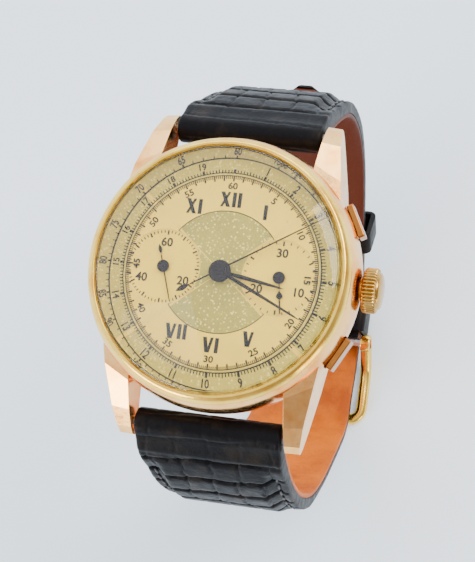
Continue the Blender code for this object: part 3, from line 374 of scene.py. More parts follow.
def acrylic():
    """Clear crystal: bends and mirrors light, and lets lamps through to the dial."""
    g = Graph("clear_acrylic")
    haze = g.noise(500, 5.0, 0.6)
    g.set(Base_Color=(0.985, 0.98, 0.95), Roughness=0.0, IOR=1.46, Transmission_Weight=1.0,
          Specular_IOR_Level=0.16)
    g.bump(haze, 0.02, 0.02)
    clear = g.node("ShaderNodeBsdfTransparent")
    clear.inputs["Color"].default_value = (0.97, 0.965, 0.93, 1.0)
    path = g.node("ShaderNodeLightPath")
    blend = g.node("ShaderNodeMixShader")
    g.link(path.outputs["Is Shadow Ray"], blend.inputs["Fac"])
    g.link(g.shader.outputs["BSDF"], blend.inputs[1])
    g.link(clear.outputs["BSDF"], blend.inputs[2])
    g.link(blend.outputs["Shader"], g.tree.nodes["Material Output"].inputs["Surface"])
    return g.mat


def dial_paint():
    """Champagne paint, greener and spotted inside the centre circle and under the outer scale."""
    g = Graph("champagne_dial")
    r = g.radius()
    wide = g.noise(120, 4.0, 0.6)
    inside = g.ramp(g.math("DIVIDE", r, 20.0), (0.402, 1.0), (0.412, 0.0))
    ring = g.ramp(g.math("DIVIDE", r, 20.0), (0.650, 0.0), (0.656, 1.0))
    aged = g.math("MAXIMUM", inside, g.math("MULTIPLY", ring, 0.75))
    light = g.mix(g.ramp(wide, (0.35, 0.0), (0.7, 1.0)), (1.0, 0.68, 0.025), (0.84, 0.60, 0.025))
    dark = g.mix(g.ramp(wide, (0.35, 0.0), (0.65, 1.0)), (0.32, 0.275, 0.014), (0.45, 0.37, 0.022))
    base = g.mix(aged, light, dark)
    spots = g.ramp(g.cells(2300), (0.16, 0.9), (0.36, 0.0))
    sparse = g.ramp(g.noise(420, 3.0, 0.6), (0.30, 0.0), (0.46, 1.0))
    spotted = g.math("MULTIPLY", g.math("MULTIPLY", spots, sparse), aged)
    pale = g.mix(spotted, base, (1.0, 0.85, 0.22))
    stains = g.ramp(g.noise(1100, 2.0), (0.70, 0.0), (0.78, 0.5))
    colour = g.mix(stains, pale, (0.30, 0.22, 0.10))
    fine = g.noise(5200, 2.0)
    g.set(Base_Color=g.mix(g.ramp(fine, (0.3, 0.16), (0.7, 0.0)), colour, (0.33, 0.29, 0.15)), Metallic=0.25,
          Roughness=g.ramp(g.noise(900, 3.0), (0.3, 0.42), (0.7, 0.58)))
    g.bump(g.mix(0.5, fine, spots), 0.25, 0.02)
    return g.mat


def register_paint():
    """Paler gold of the two registers, with fine circular turning marks."""
    g = Graph("register_gold")
    left, right = g.radius(-SUB_X), g.radius(SUB_X)
    r = g.math("MINIMUM", left, right)
    rings = g.math("SINE", g.math("MULTIPLY", r, 52.0))
    cloud = g.noise(170, 4.0, 0.6)
    tone = g.mix(g.ramp(cloud, (0.35, 0.0), (0.68, 1.0)), (1.0, 0.69, 0.035), (0.92, 0.63, 0.03))
    spots = g.ramp(g.noise(1500, 3.0), (0.64, 0.0), (0.72, 0.4))
    edge = g.ramp(g.math("DIVIDE", r, 5.05), (0.86, 0.0), (1.0, 0.35))
    g.set(Base_Color=g.mix(edge, g.mix(spots, tone, (0.52, 0.38, 0.08)), (0.68, 0.50, 0.09)), Metallic=0.45,
          Roughness=g.ramp(cloud, (0.3, 0.34), (0.7, 0.48)))
    g.bump(rings, 0.1, 0.012)
    return g.mat


def ink():
    g = Graph("dial_ink")
    worn = g.ramp(g.noise(2600, 4.0), (0.55, 0.0), (0.8, 0.6))
    g.set(Base_Color=g.mix(worn, (0.004, 0.004, 0.004), (0.03, 0.027, 0.016)), Roughness=0.5,
          Specular_IOR_Level=0.1)
    g.bump(g.noise(4200, 2.0), 0.15, 0.01)
    return g.mat


def black_leather():
    """Glazed black calf: fine creases and pores, browner where it is rubbed."""
    g = Graph("glazed_leather")
    creases = g.cells(1500, "DISTANCE_TO_EDGE")
    pores = g.noise(3800, 3.0, 0.6)
    rubbed = g.ramp(g.noise(240, 4.0, 0.65), (0.5, 0.0), (0.72, 0.7))
    g.set(Base_Color=g.mix(rubbed, (0.0050, 0.0052, 0.0065), (0.020, 0.015, 0.011)),
          Roughness=g.ramp(g.noise(600, 5.0, 0.65), (0.3, 0.30), (0.72, 0.50)), Specular_IOR_Level=0.06)
    height = g.mix(0.45, g.ramp(creases, (0.0, 0.0), (0.12, 1.0)), pores)
    g.bump(height, 0.35, 0.06)
    return g.mat


def tan_leather():
    """Smooth tan lining with pores, darker from wear, and with painted shade darkening it towards the 12
    o'clock half.
    """
    g = Graph("tan_lining_leather")
    wear = g.ramp(g.noise(150, 5.0, 0.65), (0.38, 0.0), (0.68, 1.0))
    pores = g.noise(3200, 4.0, 0.65)
    split = g.node("ShaderNodeSeparateXYZ")
    g.link(g.coords, split.inputs[0])
    # painted shade: a ramp on object y turns the lining dark red-brown over the 12 o'clock half
    far = g.ramp(g.math("ADD", g.math("MULTIPLY", split.outputs[1], 20.0), 0.5), (0.45, 0.0), (0.85, 1.0))
    tone = g.mix(far, g.mix(wear, (0.60, 0.135, 0.001), (0.38, 0.07, 0.001)), (0.075, 0.012, 0.001))
    g.set(Base_Color=g.mix(g.ramp(pores, (0.58, 0.0), (0.7, 0.5)), tone, (0.16, 0.04, 0.014)),
          Roughness=g.ramp(pores, (0.3, 0.48), (0.7, 0.66)), Specular_IOR_Level=0.2)
    g.bump(g.mix(0.5, pores, g.cells(1100)), 0.3, 0.05)
    return g.mat


def thread():
    g = Graph("waxed_thread")
    twist = g.noise(2600, 3.0, 0.6, g.scaled(1.0, 3.0, 3.0))
    g.set(Base_Color=g.mix(twist, (0.006, 0.006, 0.007), (0.018, 0.017, 0.018)), Roughness=0.6,
          Sheen_Weight=0.15)
    g.bump(twist, 0.4, 0.05)
    return g.mat


ROSE = plated("rose_gold_plate", (1.0, 0.56, 0.19), (0.84, 0.34, 0.07))
# painted shade: a darker copy of the rose-gold plate for the pushers
SHADED_ROSE_GOLD = plated("shaded_rose_gold", (0.40, 0.15, 0.03), (0.27, 0.09, 0.015))
# painted shade: a darker copy of the gold plate, so that the crown reads as shaded
SHADED_CROWN_GOLD = plated("shaded_crown_gold", (0.50, 0.29, 0.07), (0.36, 0.18, 0.035))
YELLOW = plated("yellow_gold_plate", (1.0, 0.66, 0.11), (0.82, 0.42, 0.04))
CRYSTAL = acrylic()
DIAL = dial_paint()
REGISTER = register_paint()
INK = ink()
BLUED = steel("blued_steel", (0.010, 0.006, 0.006), (0.3, 0.45))
POLISHED = steel("polished_steel", (0.62, 0.62, 0.63))
SPRING = steel("blued_spring_steel", (0.05, 0.07, 0.24), (0.18, 0.3))
NICKEL = striped("striped_nickel", (0.68, 0.65, 0.58))
GILT = steel("gilt_wheel_brass", (0.78, 0.58, 0.27), (0.22, 0.36), (6.0, 6.0, 1.0))
LEATHER = black_leather()
TAN = tan_leather()
THREAD = thread()


# ---------------------------------------------------------------- case
UPRIGHT = Matrix.Translation((0, 0, STEM_Z)) @ Matrix(((0, 0, 1, 0), (1, 0, 0, 0), (0, 1, 0, 0), (0, 0, 0, 1)))


def beside_crown(bm, sign):
    """Swing a tool or part from 3 o'clock to the upper (1) or lower (-1) pusher."""
    return moved(bm, Matrix.Rotation(radians(sign * PUSHER_ANGLE), 4, "Z"))


def band():
    """The case band, rounded all over, with pockets for the pushers."""
    profile = soften([(16.95, 1.9), (17.5, 1.9), (18.1, 0.9), (18.42, -0.8), (18.5, -2.5), (18.1, -4.7),
                      (16.9, -7.2), (16.0, -7.2), (16.0, -0.5), (16.95, -0.5)],
                     [0.05, 0.25, 0.8, 0.8, 0.9, 1.4, 0.2, 0.1, 0.1, 0.1], 6)
    obj = make("case_band", turned(profile, 192), ROSE, "root", ["case_middle"], sharp=50)
    tools = []
    for sign in (-1, 1):
        pocket = prism(soften([(-2.5, -1.3), (2.5, -1.3), (2.5, 1.35), (-2.5, 1.35)], 0.35), 17.4, 22.0)
        slot = block((15.0, -2.1, STEM_Z - 1.05), (18.0, 2.1, STEM_Z + 1.05))
        tools += [beside_crown(moved(pocket, UPRIGHT), sign), beside_crown(slot, sign)]
    tools.append(turned([(0, 15.0), (1.42, 15.0), (1.42, 19.2), (0, 19.2)], 40, "X", (0, 0, STEM_Z)))
    cut(obj, [(tool, at_head()) for tool in tools])


def lugs():
    """Four faceted lugs with softened edges and a hole for the spring bar, slotted beside the pushers."""
    inner = LUG_GAP / 2
    stations = [  # y of inner side, y of outer side, outer x, top, bottom
        (13.9, 8.8, 15.0, 0.7, -6.0), (15.6, 13.6, 14.2, -0.1, -6.5), (19.2, 18.9, 13.1, -2.5, -7.1),
        (21.4, 21.3, 12.6, -4.6, -7.2), (22.2, 22.1, 12.4, -5.8, -6.9)]
    for number, (sx, sy) in enumerate(((-1, -1), (-1, 1), (1, -1), (1, 1)), 1):
        bm = bmesh.new()
        rings = []
        for y_in, y_out, x_out, top, bottom in stations:
            corners = [(inner, y_in, top), (x_out, y_out, top - 0.25), (x_out, y_out, bottom),
                       (inner, y_in, bottom)]
            rings.append([bm.verts.new((sx * x, sy * y, z)) for x, y, z in corners])
        loft(bm, rings)
        obj = make(f"lug_{number}", bm, ROSE, "root", ())
        tools = [cross_bore(0.5, 12.0, (sy * BAR_Y, -BAR_DEPTH), 24)]
        if sx > 0:
            tools += [beside_crown(block((13.0, -2.1, STEM_Z - 1.05), (18.0, 2.1, STEM_Z + 1.05)), sy),
                      beside_crown(block((17.4, -2.5, STEM_Z - 1.3), (22.0, 2.5, STEM_Z + 1.35)), sy)]
        cut(obj, [(tool, at_head()) for tool in tools])
        mod = obj.modifiers.new("edges", "BEVEL")
        mod.width, mod.segments = 0.16 * MM, 3
        mod.limit_method, mod.angle_limit = "ANGLE", radians(14)
        obj.data.set_sharp_from_angle(angle=radians(12))


def shell():
    """Bezel, crystal and case back."""
    ring = soften([(16.62, 3.0), (16.95, 3.05), (17.3, 2.75), (17.7, 2.2), (17.7, 1.95), (16.62, 1.95)],
                  [0.08, 0.14, 0.4, 0.3, 0.06, 0.05], 5)
    make("bezel_ring", turned(ring, 192), YELLOW, "root", ["bezel"], sharp=50)
    dome, under = cap_curve(16.0, 3.35, 5.0, 14), cap_curve(16.15, 2.5, 4.1, 14)
    skirt = soften([(16.0, 3.35), (16.45, 3.0), (16.55, 2.6), (16.55, 0.15), (16.32, 0.15), (16.32, 1.9),
                    (16.15, 2.5)], [0.3, 0.3, 0.3, 0.04, 0.04, 0.5, 0.3], 5)
    make("crystal_dome", turned([*dome[:-1], *skirt, *under[:-1][::-1]], 160), CRYSTAL, "root", ["crystal"],
         sharp=60)
    back = soften([(0, -9.2), (13.6, -9.2), (13.75, -9.0), (16.3, -8.4), (16.85, -7.25), (15.9, -7.25),
                   (15.9, -6.85), (15.3, -6.85), (15.3, -8.45), (0, -8.45)],
                  [0, 0.3, 0.2, 0.6, 0.1, 0.05, 0.05, 0.05, 0.1, 0], 5)
    make("back_cover", turned(back, 160), ROSE, "root", ["case_back"], sharp=50)


def cap_curve(radius, height, apex, count):
    """Points of a shallow spherical cap from its apex out to its rim."""
    rise = apex - height
    sphere = (radius ** 2 + rise ** 2) / (2 * rise)
    limit = atan2(radius, sphere - rise)
    return [(sphere * sin(limit * k / count), apex - sphere + sphere * cos(limit * k / count))
            for k in range(count + 1)]


def crown():
    """Knurled crown with a domed cap, hollow where it slides over its tube."""
    ridges, steps = 38, 8
    outline = []
    for k in range(ridges * steps):
        wave = 0.5 - 0.5 * cos(2 * pi * k / steps)
        outline.append(3.0 - 0.22 * wave ** 1.4)
    count = len(outline)
    bm = bmesh.new()

    def ring(x, share=None, radius=None):
        turns = [(radius or outline[k] * share, 2 * pi * k / count) for k in range(count)]
        return [bm.verts.new((x, r * cos(a), r * sin(a) + STEM_Z)) for r, a in turns]

    rings = [ring(19.85, radius=1.7), ring(18.7, radius=1.75), ring(18.7, 0.86), ring(18.78, 0.94),
             ring(18.98, 1.0), ring(20.3, 1.0), ring(20.55, 0.95), ring(20.62, 0.88),
             ring(20.64, radius=2.5), ring(20.82, radius=2.42)]
    for k in range(1, 7):
        a = radians(15 * k)
        rings.append(ring(20.82 + 0.5 * sin(a), radius=0.06 + 2.36 * cos(a)))
    loft(bm, rings)
    # the crown takes the darker gold copy: painted shade
    make("knurled_crown", bm, SHADED_CROWN_GOLD, "crown", ["crown"], sharp=40)


def pushers():
    """Rectangular buttons with rounded faces, on their guides."""
    for name, node, sign in (("start_button", "pusher_start", 1), ("reset_button", "pusher_reset", -1)):
        head = prism(soften([(-2.35, -1.15), (2.35, -1.15), (2.35, 1.2), (-2.35, 1.2)], 0.3, 5), 18.35, 19.3)
        guide = block((17.0, -1.95, STEM_Z - 0.9), (18.5, 1.95, STEM_Z + 0.9))
        finger = block((15.05, -0.45, STEM_Z - 0.45), (17.2, 0.45, STEM_Z + 0.45))
        whole = merge(moved(head, UPRIGHT), guide, finger)
        # the pushers take the darker rose-gold copy: painted shade
        make(name, beside_crown(whole, sign), SHADED_ROSE_GOLD, node, [node], bevel=(0.16, 3))


# ---------------------------------------------------------------- dial
def dial():
    """Dial plate with two sunk registers and holes for the arbors."""
    plate = soften([(0, -0.4), (16.5, -0.4), (16.5, 0), (0, 0)], [0, 0.05, 0.05, 0], 3)
    obj = make("dial_plate", turned(plate, 160), [DIAL, REGISTER], "root", ["dial"])
    tools = []
    for sign in (-1, 1):
        at = (sign * SUB_X, 0)
        floor_disc = turned([(0, -0.14), (SUB_R - 0.12, -0.14), (SUB_R - 0.04, -0.11), (SUB_R, 0.02),
                             (SUB_R, 0.3), (0, 0.3)], 96, at=(*at, 0))
        tools.append((floor_disc, at_head()))
        tools.append((prism(circle(at, 0.45, 24), -0.9, 0.5), at_head()))
    tools.append((prism(circle((0, 0), 1.25, 40), -0.9, 0.5), at_head()))
    cut(obj, tools)
    if len(obj.data.materials) < 2:
        obj.data.materials.append(REGISTER)
    for face in obj.data.polygons:
        x, y, z = (c / MM for c in face.center)
        sunk = abs(z - HEAD + 0.07) < 0.1 and hypot(abs(x) - SUB_X, y) < SUB_R + 0.02 and face.normal.z > 0.2
        face.material_index = 1 if sunk else 0


INK_TOP = 0.022


def dash(angle, near, far, width, at=(0.0, 0.0), base=0.0):
    """One printed radial stroke; the angle is clockwise from 12 o'clock, in degrees."""
    bm = block((-width / 2, near, base - 0.01), (width / 2, far, base + INK_TOP))
    return moved(bm, Matrix.Translation((*at, 0)) @ Matrix.Rotation(-radians(angle), 4, "Z"))


def hoop(radius, width):
    low, high = radius - width / 2, radius + width / 2
    return turned([(low, -0.01), (high, -0.01), (high, INK_TOP), (low, INK_TOP)], 192)


def arc(radius, width, start, stop, steps=48):
    """Part of a printed ring between two clockwise angles."""
    turns = [radians(90 - start - (stop - start) * k / steps) for k in range(steps + 1)]
    edges = ((radius + width / 2, turns), (radius - width / 2, turns[::-1]))
    outline = [(r * cos(a), r * sin(a)) for r, row in edges for a in row]
    return prism(outline, -0.01, INK_TOP)


def numeral(text, size, angle, radius, at=(0.0, 0.0), base=0.0, upright=False, stretch=1.0, weight=0.035):
    """A printed number, its top towards the rim above and towards the centre below."""
    curve = bpy.data.curves.new("numeral", "FONT")
    curve.body, curve.size = text, size
    curve.align_x, curve.align_y = "CENTER", "CENTER"
    curve.resolution_u, curve.extrude = 3, 0.016
    curve.offset = weight
    obj = bpy.data.objects.new("numeral", curve)
    bpy.context.scene.collection.objects.link(obj)
    bpy.context.view_layer.update()
    mesh = bpy.data.meshes.new_from_object(obj.evaluated_get(bpy.context.evaluated_depsgraph_get()))
    bpy.data.objects.remove(obj, do_unlink=True)
    bm = bmesh.new()
    bm.from_mesh(mesh)
    bpy.data.meshes.remove(mesh)
    bmesh.ops.remove_doubles(bm, verts=bm.verts[:], dist=1e-5)
    centre = [(min(v.co[i] for v in bm.verts) + max(v.co[i] for v in bm.verts)) / 2 for i in (0, 1)]
    bmesh.ops.translate(bm, vec=(-centre[0], -centre[1], 0), verts=bm.verts[:])
    a = radians(angle)
    flip = pi if 97 < angle % 360 < 263 else 0.0
    turn = 0.0 if upright else -a + flip
    place = Matrix.Translation((at[0] + radius * sin(a), at[1] + radius * cos(a), base + 0.006))
    return moved(bm, place @ Matrix.Rotation(turn, 4, "Z") @ Matrix.Diagonal((stretch, 1, 1, 1)))


def bar(ax, ay, bx, by, width):
    """A thick stroke with level ends, for a Roman figure."""
    half = width / 2
    return prism([(ax - half, ay), (ax + half, ay), (bx + half, by), (bx - half, by)], -0.01, 0.03)


def roman(text, x, y, height=2.0):
    """Upright Roman figure made of thick and thin strokes."""
    widths = {"I": 0.74, "V": 1.62, "X": 1.66}
    total = sum(widths[c] for c in text)
    left, parts, h = -total / 2, [], height / 2
    for letter in text:
        mid = left + widths[letter] / 2
        if letter == "I":
            parts.append(bar(mid, -h, mid, h, 0.5))
        if letter == "V":
            parts += [bar(mid - 0.06, -h, mid - 0.5, h, 0.52), bar(mid + 0.08, -h, mid + 0.5, h, 0.38)]
        if letter == "X":
            parts += [bar(mid + 0.46, -h, mid - 0.46, h, 0.54), bar(mid - 0.46, -h, mid + 0.46, h, 0.36)]
        left += widths[letter]
    return moved(merge(*parts), Matrix.Translation((x, y, 0)))


def seconds_scale():
    """Fifth-of-a-second track with a number every five seconds."""
    parts = []
    for k in range(300):
        angle = k * 1.2
        long = k % 5 == 0
        parts.append(dash(angle, 12.2 if long else 12.5, 12.95, 0.22 if long else 0.14))
    parts += [numeral(str(5 * k if k else 60), 1.2, 30.0 * k, 11.58, stretch=1.1) for k in range(12)]
    parts.append(hoop(12.95, 0.13))
    return parts


def telemeter_scale():
    parts = [hoop(13.32, 0.14)]
    for k in range(200):
        angle = k * 1.8
        bold, long = k % 10 == 0, k % 5 == 0
        parts.append(dash(angle, 13.32, 13.86 if bold else 13.8 if long else 13.72, 0.34 if bold else 0.15))
    parts += [numeral(str(k), 1.15, 18.0 * k, 14.4, stretch=1.05) for k in range(1, 20)]
    return parts


TACHYMETER = (60, 65, 70, 75, 80, 85, 90, 100, 110, 120, 140, 160, 180, 200, 240, 300, 400, 500, 700, 1000)


def tachymeter_scale():
    """Speed over a kilometre: the angle is 360 degrees times 60 over the speed."""
    parts = [hoop(15.02, 0.13)]
    for speed in TACHYMETER:
        angle = 21600 / speed
        parts.append(dash(angle, 14.95, 15.3, 0.24))
        parts.append(numeral(str(speed), 1.08, angle, 15.74, stretch=0.95))
    between = ([60 + k for k in range(30)] + [90 + 2 * k for k in range(15)] + [120 + 5 * k for k in range(16)]
               + [200 + 20 * k for k in range(10)])
    parts += [dash(21600 / speed, 15.02, 15.3, 0.15) for speed in between]
    return parts


def centre_circle():
    """Thin circle of 8.15 mm radius, broken where it meets the registers."""
    radius = 8.15
    reach = SUB_R + 0.08
    x = (radius ** 2 + SUB_X ** 2 - reach ** 2) / (2 * SUB_X)
    gap = 90 - asin(x / radius) * 180 / pi
    return [arc(radius, 0.12, -90 + gap, 90 - gap), arc(radius, 0.12, 90 + gap, 270 - gap)]


def register_scale(x, marks, long_every, numbers):
    """Ticks and three numbers of one register."""
    base, at = -0.14, (x, 0.0)
    parts = []
    for k in range(marks):
        long = k % long_every == 0
        parts.append(dash(360 * k / marks, 4.25 if long else 4.5, 4.85, 0.22 if long else 0.14, at, base))
    parts += [numeral(text, 1.6, angle, 3.3, at, base, upright=True, weight=0.045) for text, angle in numbers]
    return parts


def printing():
    ring = [*seconds_scale(), *telemeter_scale(), *tachymeter_scale(), *centre_circle()]
    make("dial_scales", merge(*ring), INK, "root", (), sharp=60)
    romans = [roman(text, ROMAN_RADIUS * sin(radians(angle)), ROMAN_RADIUS * cos(radians(angle)))
              for text, angle in (("XII", 0), ("I", 30), ("V", 150), ("VI", 180), ("VII", 210), ("XI", 330))]
    make("roman_figures", merge(*romans), INK, "root", (), sharp=60)
    make("small_seconds_scale", merge(*register_scale(-SUB_X, 60, 5, (("60", 0), ("20", 120), ("40", 240)))),
         INK, "root", (), sharp=60)
    make("minute_counter_scale", merge(*register_scale(SUB_X, 30, 5, (("30", 0), ("10", 120), ("20", 240)))),
         INK, "root", (), sharp=60)


# ---------------------------------------------------------------- hands
def blade(stations, clock, low, high, at=(0.0, 0.0)):
    """A thin hand with a ridge along its middle, from (distance, half width) stations."""
    bm = bmesh.new()
    shoulder = low + (high - low) * 0.45
    rings = []
    for d, w in stations:
        w = max(w, 0.012)
        rings.append([bm.verts.new(co) for co in ((d, -w, low), (d, w, low), (d, w, shoulder), (d, 0, high),
                                                  (d, -w, shoulder))])
    loft(bm, rings)
    return moved(bm, Matrix.Translation((*at, 0)) @ Matrix.Rotation(radians(90 - clock), 4, "Z"))


def boss(radius, bore, low, high, at=(0.0, 0.0), cap=None):
    """The round collet of a hand; with a cap its middle is closed by a domed pin."""
    ring = soften([(bore, low), (radius, low), (radius, high), (bore, high)], [0.01, 0.05, 0.07, 0.03], 4)
    parts = [turned(ring, 64, at=(*at, 0))]
    if cap:
        parts.append(turned([(0, low), (bore - 0.01, low), (bore - 0.01, cap - 0.1), (bore * 0.8, cap - 0.03),
                             (bore * 0.4, cap), (0, cap)], 32, at=(*at, 0)))
    return merge(*parts)


def leaf(start, stop, width, count=10, lean=0.55):
    """Stations of a pointed leaf whose widest place is at `lean` of its length."""
    out = []
    for k in range(count + 1):
        t = k / count
        shape = sin(pi * t ** (0.7 / lean * 0.7 + 0.2))
        out.append((start + (stop - start) * t, max(0.015, width * shape)))
    return out


def hands():
    make("hour_blade", merge(blade([(1.2, 0.20), (3.0, 0.30), (7.6, 0.17), (8.9, 0.02)], 99.6, 0.6, 0.78),
                             boss(1.5, 0.95, 0.6, 0.82)),
         BLUED, "hour_hand", ["hour_hand"])
    make("minute_blade", merge(blade([(1.0, 0.2), (3.5, 0.25), (11.6, 0.13), (12.7, 0.02)], 115.0, 1.0, 1.17),
                               boss(1.25, 0.62, 1.0, 1.22)),
         BLUED, "minute_hand", ["minute_hand"])
    sweep = merge(blade([(0.8, 0.13), (14.0, 0.075), (16.0, 0.05)], 58.0, 1.4, 1.52),
                  blade([(0.8, 0.11), (4.1, 0.09), *leaf(4.2, 6.25, 0.36)], 238.0, 1.4, 1.54),
                  boss(1.0, 0.3, 1.4, 1.66, cap=1.85))
    make("sweep_blade", sweep, BLUED, "chronograph", ["chronograph_seconds_hand"])
    seconds = merge(blade([(0.5, 0.09), (4.1, 0.07), (4.7, 0.04)], 161.6, 0.1, 0.2, (-SUB_X, 0)),
                    blade([(0.5, 0.07), (1.5, 0.07), *leaf(1.6, 3.0, 0.24)], 341.6, 0.1, 0.2, (-SUB_X, 0)),
                    boss(0.82, 0.26, 0.1, 0.3, (-SUB_X, 0), cap=0.4))
    make("small_seconds_blade", seconds, BLUED, "seconds", ["small_seconds_hand"])
    minutes = merge(blade([(0.5, 0.07), (1.35, 0.07), (1.4, 0.42), *leaf(1.5, 2.9, 0.44, lean=0.3), (3.0, 0.11),
                           (4.75, 0.08)], 171.0, 0.1, 0.2, (SUB_X, 0)),
                    boss(0.82, 0.26, 0.1, 0.3, (SUB_X, 0), cap=0.4))
    make("minute_counter_blade", minutes, BLUED, "recorder", ["minute_counter_hand"])


# ---------------------------------------------------------------- strap routes
STRAIGHT_START, STRAIGHT_WAY, STRAIGHT_LENGTH = (11.9, 10.8), (0.64, 0.768), 19.5
TAIL_PAST_STRAIGHT = 18.0
SHORT_BEND = [(20.4, 64.8), (23.3, 60.2), (26.5, 54.0), (28.8, 48.0), (29.6, 42.3), (29.1, 36.2), (27.3, 30.6)]
SHORT_END = [(9.7, 7.7), (7.0, 4.95), (4.4, 4.75), (0.9, 4.75)]
LONG_ROUTE = [(-20.4, 64.8), (-23.2, 60.0), (-25.9, 52.5), (-27.0, 44.0), (-26.2, 35.0), (-23.4, 26.3),
              (-19.8, 18.4), (-16.9, 12.2), (-14.4, 7.2), (-11.4, 4.2), (-7.6, 3.3), (-3.6, 2.7), (0.0, 2.38)]
LAYER_STEP = 2.4
SHORT_LEATHER, TAIL_LEATHER, PAD = 1.45, 1.2, 2.9
LUG_HALF, END_HALF, TAPER = 10.1, 8.0, 72.0


def spline(points, step):
    """A smooth curve through the points, read at even distances."""
    fine = []
    padded = [points[0], *points, points[-1]]
    for a, b, c, d in zip(padded, padded[1:], padded[2:], padded[3:]):
        for k in range(16):
            t = k / 16
            fine.append(tuple(0.5 * (2 * q + (r - p) * t + (2 * p - 5 * q + 4 * r - s) * t * t
                                     + (3 * q - p - 3 * r + s) * t ** 3) for p, q, r, s in zip(a, b, c, d)))
    fine.append(points[-1])
    lengths = [0.0]
    for a, b in zip(fine, fine[1:]):
        lengths.append(lengths[-1] + hypot(b[0] - a[0], b[1] - a[1]))
    count = max(2, round(lengths[-1] / step))
    even, k = [], 0
    for i in range(count + 1):
        want = lengths[-1] * i / count
        while k < len(fine) - 2 and lengths[k + 1] < want:
            k += 1
        part = (want - lengths[k]) / (lengths[k + 1] - lengths[k])
        even.append((fine[k][0] + part * (fine[k + 1][0] - fine[k][0]),
                     fine[k][1] + part * (fine[k + 1][1] - fine[k][1])))
    return even


def normals(route, side):
    out = []
    for i in range(len(route)):
        a, b = route[max(i - 1, 0)], route[min(i + 1, len(route) - 1)]
        size = hypot(b[0] - a[0], b[1] - a[1])
        out.append((-side * (b[1] - a[1]) / size, side * (b[0] - a[0]) / size))
    return out


def short_route(step=0.5):
    straight = [(STRAIGHT_START[0] + STRAIGHT_WAY[0] * d, STRAIGHT_START[1] + STRAIGHT_WAY[1] * d)
                for d in (STRAIGHT_LENGTH * k / 3 for k in (3, 2, 1, 0))]
    return spline([*SHORT_BEND, *straight, *SHORT_END], step)


def long_route(step=0.5):
    """Down from the case, under the buckle's front, then outside the short half to the tip."""
    inner = short_route()
    outward = normals(inner, 1)
    beside = [(p[0] + n[0] * LAYER_STEP, p[1] + n[1] * LAYER_STEP) for p, n in zip(inner, outward)]
    first = STRAIGHT_START[1] + STRAIGHT_WAY[1] * STRAIGHT_LENGTH
    follow = [b for p, b in zip(inner, beside) if p[0] > 3.5 and p[1] < first - 1.0][::-1][::6]
    end = follow[-1]
    tail = [(end[0] + STRAIGHT_WAY[0] * d, end[1] + STRAIGHT_WAY[1] * d)
            for d in (0.5 * TAIL_PAST_STRAIGHT, TAIL_PAST_STRAIGHT)]
    return spline([*LONG_ROUTE, *follow, *tail], step)


def ease(value):
    value = min(max(value, 0.0), 1.0)
    return value * value * (3 - 2 * value)


def half_width(s):
    return LUG_HALF - (LUG_HALF - END_HALF) * min(s / TAPER, 1.0) ** 2


def tail_width(s, length):
    near_tip = max(0.0, 1 - (length - s) / 9.0)
    return half_width(s + 4.0) - (END_HALF - 1.2) * near_tip ** 1.5


# ---------------------------------------------------------------- strap
ROLL_END = 3.6              # where the fold round the spring bar is sewn down
ROLL_R = 2.0
STEP = 0.3
ROW_PITCH = 4.2
EDGE_HIGH = 1.75            # leather height along the stitched edges


def crease(distance, width):
    return exp(-(distance / width) ** 2)


def grain(s, x, seed):
    """Depth in millimetres of the crocodile pattern's creases at a place on the strap."""
    wander = (0.45 * noise.noise(Vector((x * 0.22, s * 0.05, seed)))
              + 0.1 * noise.noise(Vector((x * 0.9, s * 0.3, seed))))
    place = (s + wander + 0.06 * x) / ROW_PITCH
    row = floor(place)
    across = min(place - row, row + 1 - place) * ROW_PITCH
    shift = 1.7 * noise.noise(Vector((row * 3.7, seed, 0.5)))
    width = 4.1 + 0.8 * noise.noise(Vector((row * 1.9, seed, 7.5)))
    side = 0.5 * noise.noise(Vector((x * 0.3, s * 0.6, seed + 3)))
    column = (x + shift + side) / width
    along = min(column - floor(column), floor(column) + 1 - column) * width
    wrinkle = 0.035 * noise.noise(Vector((x * 1.1, s * 2.6, seed + 9)))
    pillow = 0.1 * (1 - min(across / 1.6, 1.0)) ** 2
    return 0.45 * crease(across, 0.27) + 0.2 * crease(along, 0.17) + pillow + wrinkle


def padding(s, pad_end):
    """Height of the padded middle: full behind the lugs, then falling to pad_end."""
    return pad_end + (PAD - pad_end) * (1 - ease((s - 14) / 26)) * (0.55 + 0.45 * ease(s / 6)) - 0.05


